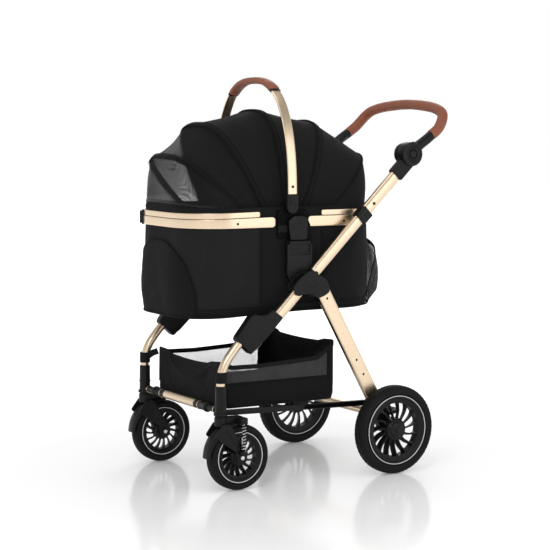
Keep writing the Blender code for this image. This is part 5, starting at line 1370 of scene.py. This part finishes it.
def make_canopy():
    names = ["canopy_bow_1", "canopy_bow_2", "canopy_bow_3", "canopy_bow_4"]
    seams = [(-0.0088, 0.0088)] * 4
    for number, (bow, name) in enumerate(zip(BOWS, names), 1):
        make_channel(number, bow, name, name, seams[number - 1])
    for name, first, second, material, node in (
        ("net_panel", 0, 1, CANOPY_NET, "canopy_mesh"),
        ("front_panel", 1, 2, FABRIC, "canopy_front"),
        ("top_panel", 2, 3, FABRIC, "canopy_top"),
    ):
        rows = fan_rows(BOWS[first], BOWS[second])
        panel = grid(f"canopy_{name}", rows, material, thick=0.0008)
        fan_blend(panel, BOWS[second][0], BOWS[first][0])
        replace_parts(panel, node)
        declare(panel, rows)
    rows = fan_rows(BOWS[3], BACK_BOW, sag=0.009)
    panel = grid("canopy_rear_panel", rows, FABRIC, thick=0.0008)
    fan_blend(panel, BACK_BOW[0], BOWS[3][0])
    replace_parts(panel, "canopy_back")
    declare(panel, rows)
    # The fixed drop from the back bow to the rear of the rim, and its bound top edge.
    back = rows[-1]
    rim = [Vector((p.x, p.y, 0.729)) for p in plan_between(False, back[0].y, -0.0065, len(back) - 1)]
    drop_rows = []
    for i in range(17):
        f = i / 16
        row = []
        for k, (a, b) in enumerate(zip(back, rim)):
            p = a.lerp(b, f)
            out = Vector((p.x * 0.6, p.y - CARRIER_Y, 0.12)).normalized()
            puff = math.sin(math.pi * f) * math.sin(math.pi * k / (len(back) - 1))
            row.append(p + out * (0.010 * puff + puff * wobble(p, 17, 0.0030, 6.6)))
        drop_rows.append(row)
    drop = grid("canopy_drop", drop_rows, FABRIC, thick=0.0008)
    ride(drop, "carrier")
    edge = bow_line(BACK_BOW[0], BACK_BOW[1] + 0.0022, BACK_BOW[2], 0.1726, 0.728, 110)
    bound = ride(tube("canopy_back_piping", edge, 0.0022, BINDING, 10), "carrier")
    foot = ride(tube("canopy_drop_foot", [p + Vector((0, 0, 0.0045)) for p in rim], 0.0022, BINDING, 8, up=(0, 0, 1)), "carrier")
    declare(drop, drop_rows)
    # The front: a fabric band that stays on the rim, and the mesh flap that unzips from it and goes with bow 1.
    top = bow_line(BOWS[0][0], BOWS[0][1] + 0.0012, BOWS[0][2], 0.1722, 0.729)
    rim = [Vector((p.x, p.y, 0.7265)) for p in plan_between(True, top[0].y, -0.0012, len(top) - 1)]

    def front_row(f):
        row = []
        for k, (a, b) in enumerate(zip(rim, top)):
            p = a.lerp(b, f)
            out = Vector((p.x * 0.5, -1.0 * 0.25, 0.18)).normalized()
            puff = math.sin(math.pi * f) * math.sin(math.pi * k / (len(top) - 1))
            row.append(p + out * (0.006 * puff + puff * wobble(p, 15, 0.0022, 8.8)))
        return row

    split = 0.15
    band_rows = [front_row(split * i / 5) for i in range(6)]
    band = grid("canopy_front_band", band_rows, BINDING, thick=0.0012)
    ride(band, "carrier")
    zip_line = [p + Vector((0, -0.0010, 0.0006)) for p in band_rows[-1]]
    zipper = ride(sweep("canopy_zip", zip_line[1:-1], superellipse(0.0013, 0.0034, 3, 12), PLASTIC, up=(0, 0, 1)), "carrier")
    foot = ride(tube("canopy_front_foot", [p + Vector((0, 0, 0.0050)) for p in rim], 0.0024, BINDING, 8, up=(0, 0, 1)), "carrier")
    declare(band, band_rows)
    flap_rows = [front_row(split + (1 - split) * i / 22) for i in range(23)]
    flap = grid("canopy_net_flap", flap_rows, CANOPY_NET, thick=0.0008)
    ride(flap, "canopy_bow_1", "canopy_mesh")
    normal = Vector(bow_matrix(BOWS[0][0]).col[2][:3])
    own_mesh(flap)
    declare(flap, flap_rows)


# ---- basket ----
def basket_top(p):
    ys = (-0.30, -0.262, -0.235, -0.150, -0.050, 0.035, 0.066, 0.099, 0.14)
    zs = (0.331, 0.327, 0.3165, 0.3150, 0.3190, 0.3240, 0.3470, 0.366, 0.366)
    top = float(np.interp(p.y, ys, zs))
    if p.y < -0.255:
        top -= 0.011 * max(0.0, 1 - (p.x / 0.17) ** 2)
    if p.y > 0.08:
        top -= 0.007 * max(0.0, 1 - (p.x / 0.17) ** 2)
    return top


def make_basket():
    plan = even(rectangle((-0.1845, -0.2710), (0.1845, 0.0965), 0.034, 12), 300, closed=True)
    framed = []
    for i, p in enumerate(plan):
        along = (plan[(i + 1) % 300] - plan[i - 1]).normalized()
        normal = Vector((along.y, -along.x))
        framed.append((p, -normal if normal.dot(p - Vector((0, -0.087))) < 0 else normal))
    centre = Vector((0, -0.087))
    rows = []
    for share in (0.002, 0.25, 0.5, 0.72, 0.88, 0.97):
        rows.append([Vector((*(centre + (p - centre) * share), BASKET_FLOOR + 0.0016 * math.sin(9 * p.x + 5 * p.y) * (1 - share))) for p, n in framed])
    steps = 22
    for j in range(steps + 1):
        v = j / steps
        row = []
        for p, n in framed:
            flat = max(abs(n.x), abs(n.y))
            straight = max(0.0, (flat - 0.85) / 0.15)
            reach = 1 - min(1.0, abs(p.x) / 0.186) ** 4 if abs(n.y) > abs(n.x) else 1 - abs((p.y + 0.087) / 0.186) ** 4
            out = straight * max(0.0, reach) * (0.0055 * math.sin(math.pi * min(1, v * 0.9 + 0.1)) - 0.0075 * v**3)
            out += wobble((p.x, p.y, 0.5 * v * 0.12), 18, 0.0035, 2.2) * math.sin(math.pi * v) * straight
            out -= 0.0045 * max(0.0, 1 - v * 9)
            q = p + n * out
            row.append(Vector((q.x, q.y, BASKET_FLOOR + 0.0006 + v * (basket_top(p) - BASKET_FLOOR))))
        rows.append(row)
    bag = grid("basket_bag", rows, FABRIC, wrap_u=True, cap=False)
    settle(bag, 16, gravity=1.0, cap=0.006, stiffness=8.0,
           pinned=lambda co: co.z < BASKET_FLOOR + 0.004 or (co.z > basket_top(co) - 0.006 and abs(co.x) > 0.12))
    bag.data.materials.append(BASKET_NET)
    for face in bag.data.polygons:
        c = face.center
        if abs(face.normal.x) > 0.7 and -0.2560 < c.y < 0.0640 and (0.2740 if c.x > 0 else 0.2400) < c.z < basket_top(c) - 0.003:
            face.material_index = 1
    solid = bag.modifiers.new("cloth thickness", "SOLIDIFY")
    solid.thickness, solid.offset = 0.0010, 0
    ride(bag, "frame", "basket")
    count = len(plan)
    co = [v.co.copy() for v in bag.data.vertices]
    top = co[-count:]
    parts = [ride(sweep("basket_binding", top, superellipse(0.0016, 0.0062, 3.5, 14), WEBBING, closed=True, up=(0, 0, 1)), "frame")]
    thread = [p + n3 for p, n3 in zip(top, (Vector((n.x, n.y, 0)) * 0.0017 - Vector((0, 0, 0.0045)) for _, n in framed))]
    parts.append(ride(beads("basket_stitches", [*thread, thread[0]], 0.0032, 0.00045, 0.0022, THREAD), "frame"))
    for side, tag in SIDES:
        for k, (y_low, y_high, z_low) in enumerate(((-0.2575, 0.0660, 0.2730 if side > 0 else 0.2390),)):
            x = side * 0.1868
            loop = [Vector((x, y, z)) for y, z in ((y_low, 0.321), (y_low, z_low), (y_high, z_low), (y_high, 0.345))]
            loop = [q for a, b in zip(loop, loop[1:]) for q in even([a, b], 22)]
            near = []
            for q in loop:
                hit = min(co, key=lambda c: (c - q).length_squared)
                near.append(Vector((hit.x + side * 0.0009, q.y, q.z)))
            parts.append(ride(sweep(f"basket_window_tape_{tag}", near, superellipse(0.0008, 0.0040, 3, 12), BINDING,
                                    up=lambda i, p, side=side: Vector((side, 0, 0)).cross(near[min(i + 1, len(near) - 1)] - near[max(i - 1, 0)])), "frame"))
        for name, a, b in (
            ("front", Vector((side * 0.1800, -0.2660, 0.3200)), Vector((side * 0.2060, -0.2875, 0.3010))),
        ):
            line = even([a, a.lerp(b, 0.4) + Vector((side * 0.003, -0.003, 0.001)), b], 12)
            parts.append(ride(sweep(f"basket_strap_{name}_{tag}", line, superellipse(0.0010, 0.0090, 4, 14), WEBBING, up=(0, 0, 1)), "frame"))


# ---- scene ----
def make_stage():
    mesh = bpy.data.meshes.new("floor")
    reach = 14.0
    mesh.from_pydata([(-reach, -reach, 0), (reach, -reach, 0), (reach, reach, 0), (-reach, reach, 0)], [], [(0, 1, 2, 3)])
    mesh.materials.append(make_floor())
    floor = bpy.data.objects.new("floor", mesh)
    bpy.context.scene.collection.objects.link(floor)
    floor.location.z = -0.0006
    world = bpy.data.worlds.new("studio")
    world.use_nodes = True
    tree = world.node_tree
    tree.nodes["Background"].inputs[0].default_value = (1, 1, 1, 1)
    height = tree.nodes.new("ShaderNodeSeparateXYZ")
    tree.links.new(tree.nodes.new("ShaderNodeTexCoord").outputs["Generated"], height.inputs[0])
    dome = tree.nodes.new("ShaderNodeMapRange")
    for index, value in enumerate((0, 0.22, 0.65, 1.0, 0.48)):
        if index:
            dome.inputs[index].default_value = value
    tree.links.new(height.outputs["Z"], dome.inputs[0])
    tree.links.new(dome.outputs[0], tree.nodes["Background"].inputs[1])
    scene = bpy.context.scene
    scene.world = world
    scene.view_settings.view_transform = "Standard"
    scene.view_settings.look = "None"
    target = (0, 0, 0.55)
    area_light("key", (2.6, -2.4, 2.9), target, (1.6, 1.6), 38)
    area_light("fill", (3.4, 1.6, 1.5), target, (1.8, 2.2), 15)
    area_light("back", (-2.6, 2.2, 2.4), target, (2.0, 1.4), 28)
    area_light("top", (0.2, -0.3, 3.2), target, (2.2, 2.2), 20)


def finish_nodes():
    """Better materials for the CAD nodes that stay."""
    chosen = {"champagne_metal": GOLD, "black_plastic": PLASTIC, "tyre_rubber": RUBBER, "brown_leather": LEATHER,
              "black_fabric": FABRIC, "grey_mesh": CANOPY_NET, "spring_steel": STEEL}
    slots = {row["node"]: row["material_slot"] for row in frame["record"]["subparts"]}
    for name, obj in cad_nodes.items():
        if not obj.hide_render:
            obj.data.materials.clear()
            obj.data.materials.append(chosen[slots[name]])
            obj.data.shade_smooth()
            obj.data.set_sharp_from_angle(angle=math.radians(35))


make_wheels()
for side, tag in SIDES:
    make_caster(side, tag)
    make_tubes(side, tag)
    make_hub(side, tag)
    make_joints(side, tag)
make_lower_frame()
make_handlebar()
make_tub()
make_pocket("front_pocket", True, 0.140, 0.645, 0.0120, 0.0, FABRIC)
make_pocket("rear_pouch", False, 0.136, 0.632, 0.050, 0.8, POUCH_NET)
make_mat()
droop()
make_rims()
make_latch()
for side, tag in SIDES:
    make_brackets(side, tag)
make_carry_handle()
make_canopy()
make_basket()
finish_nodes()
make_stage()
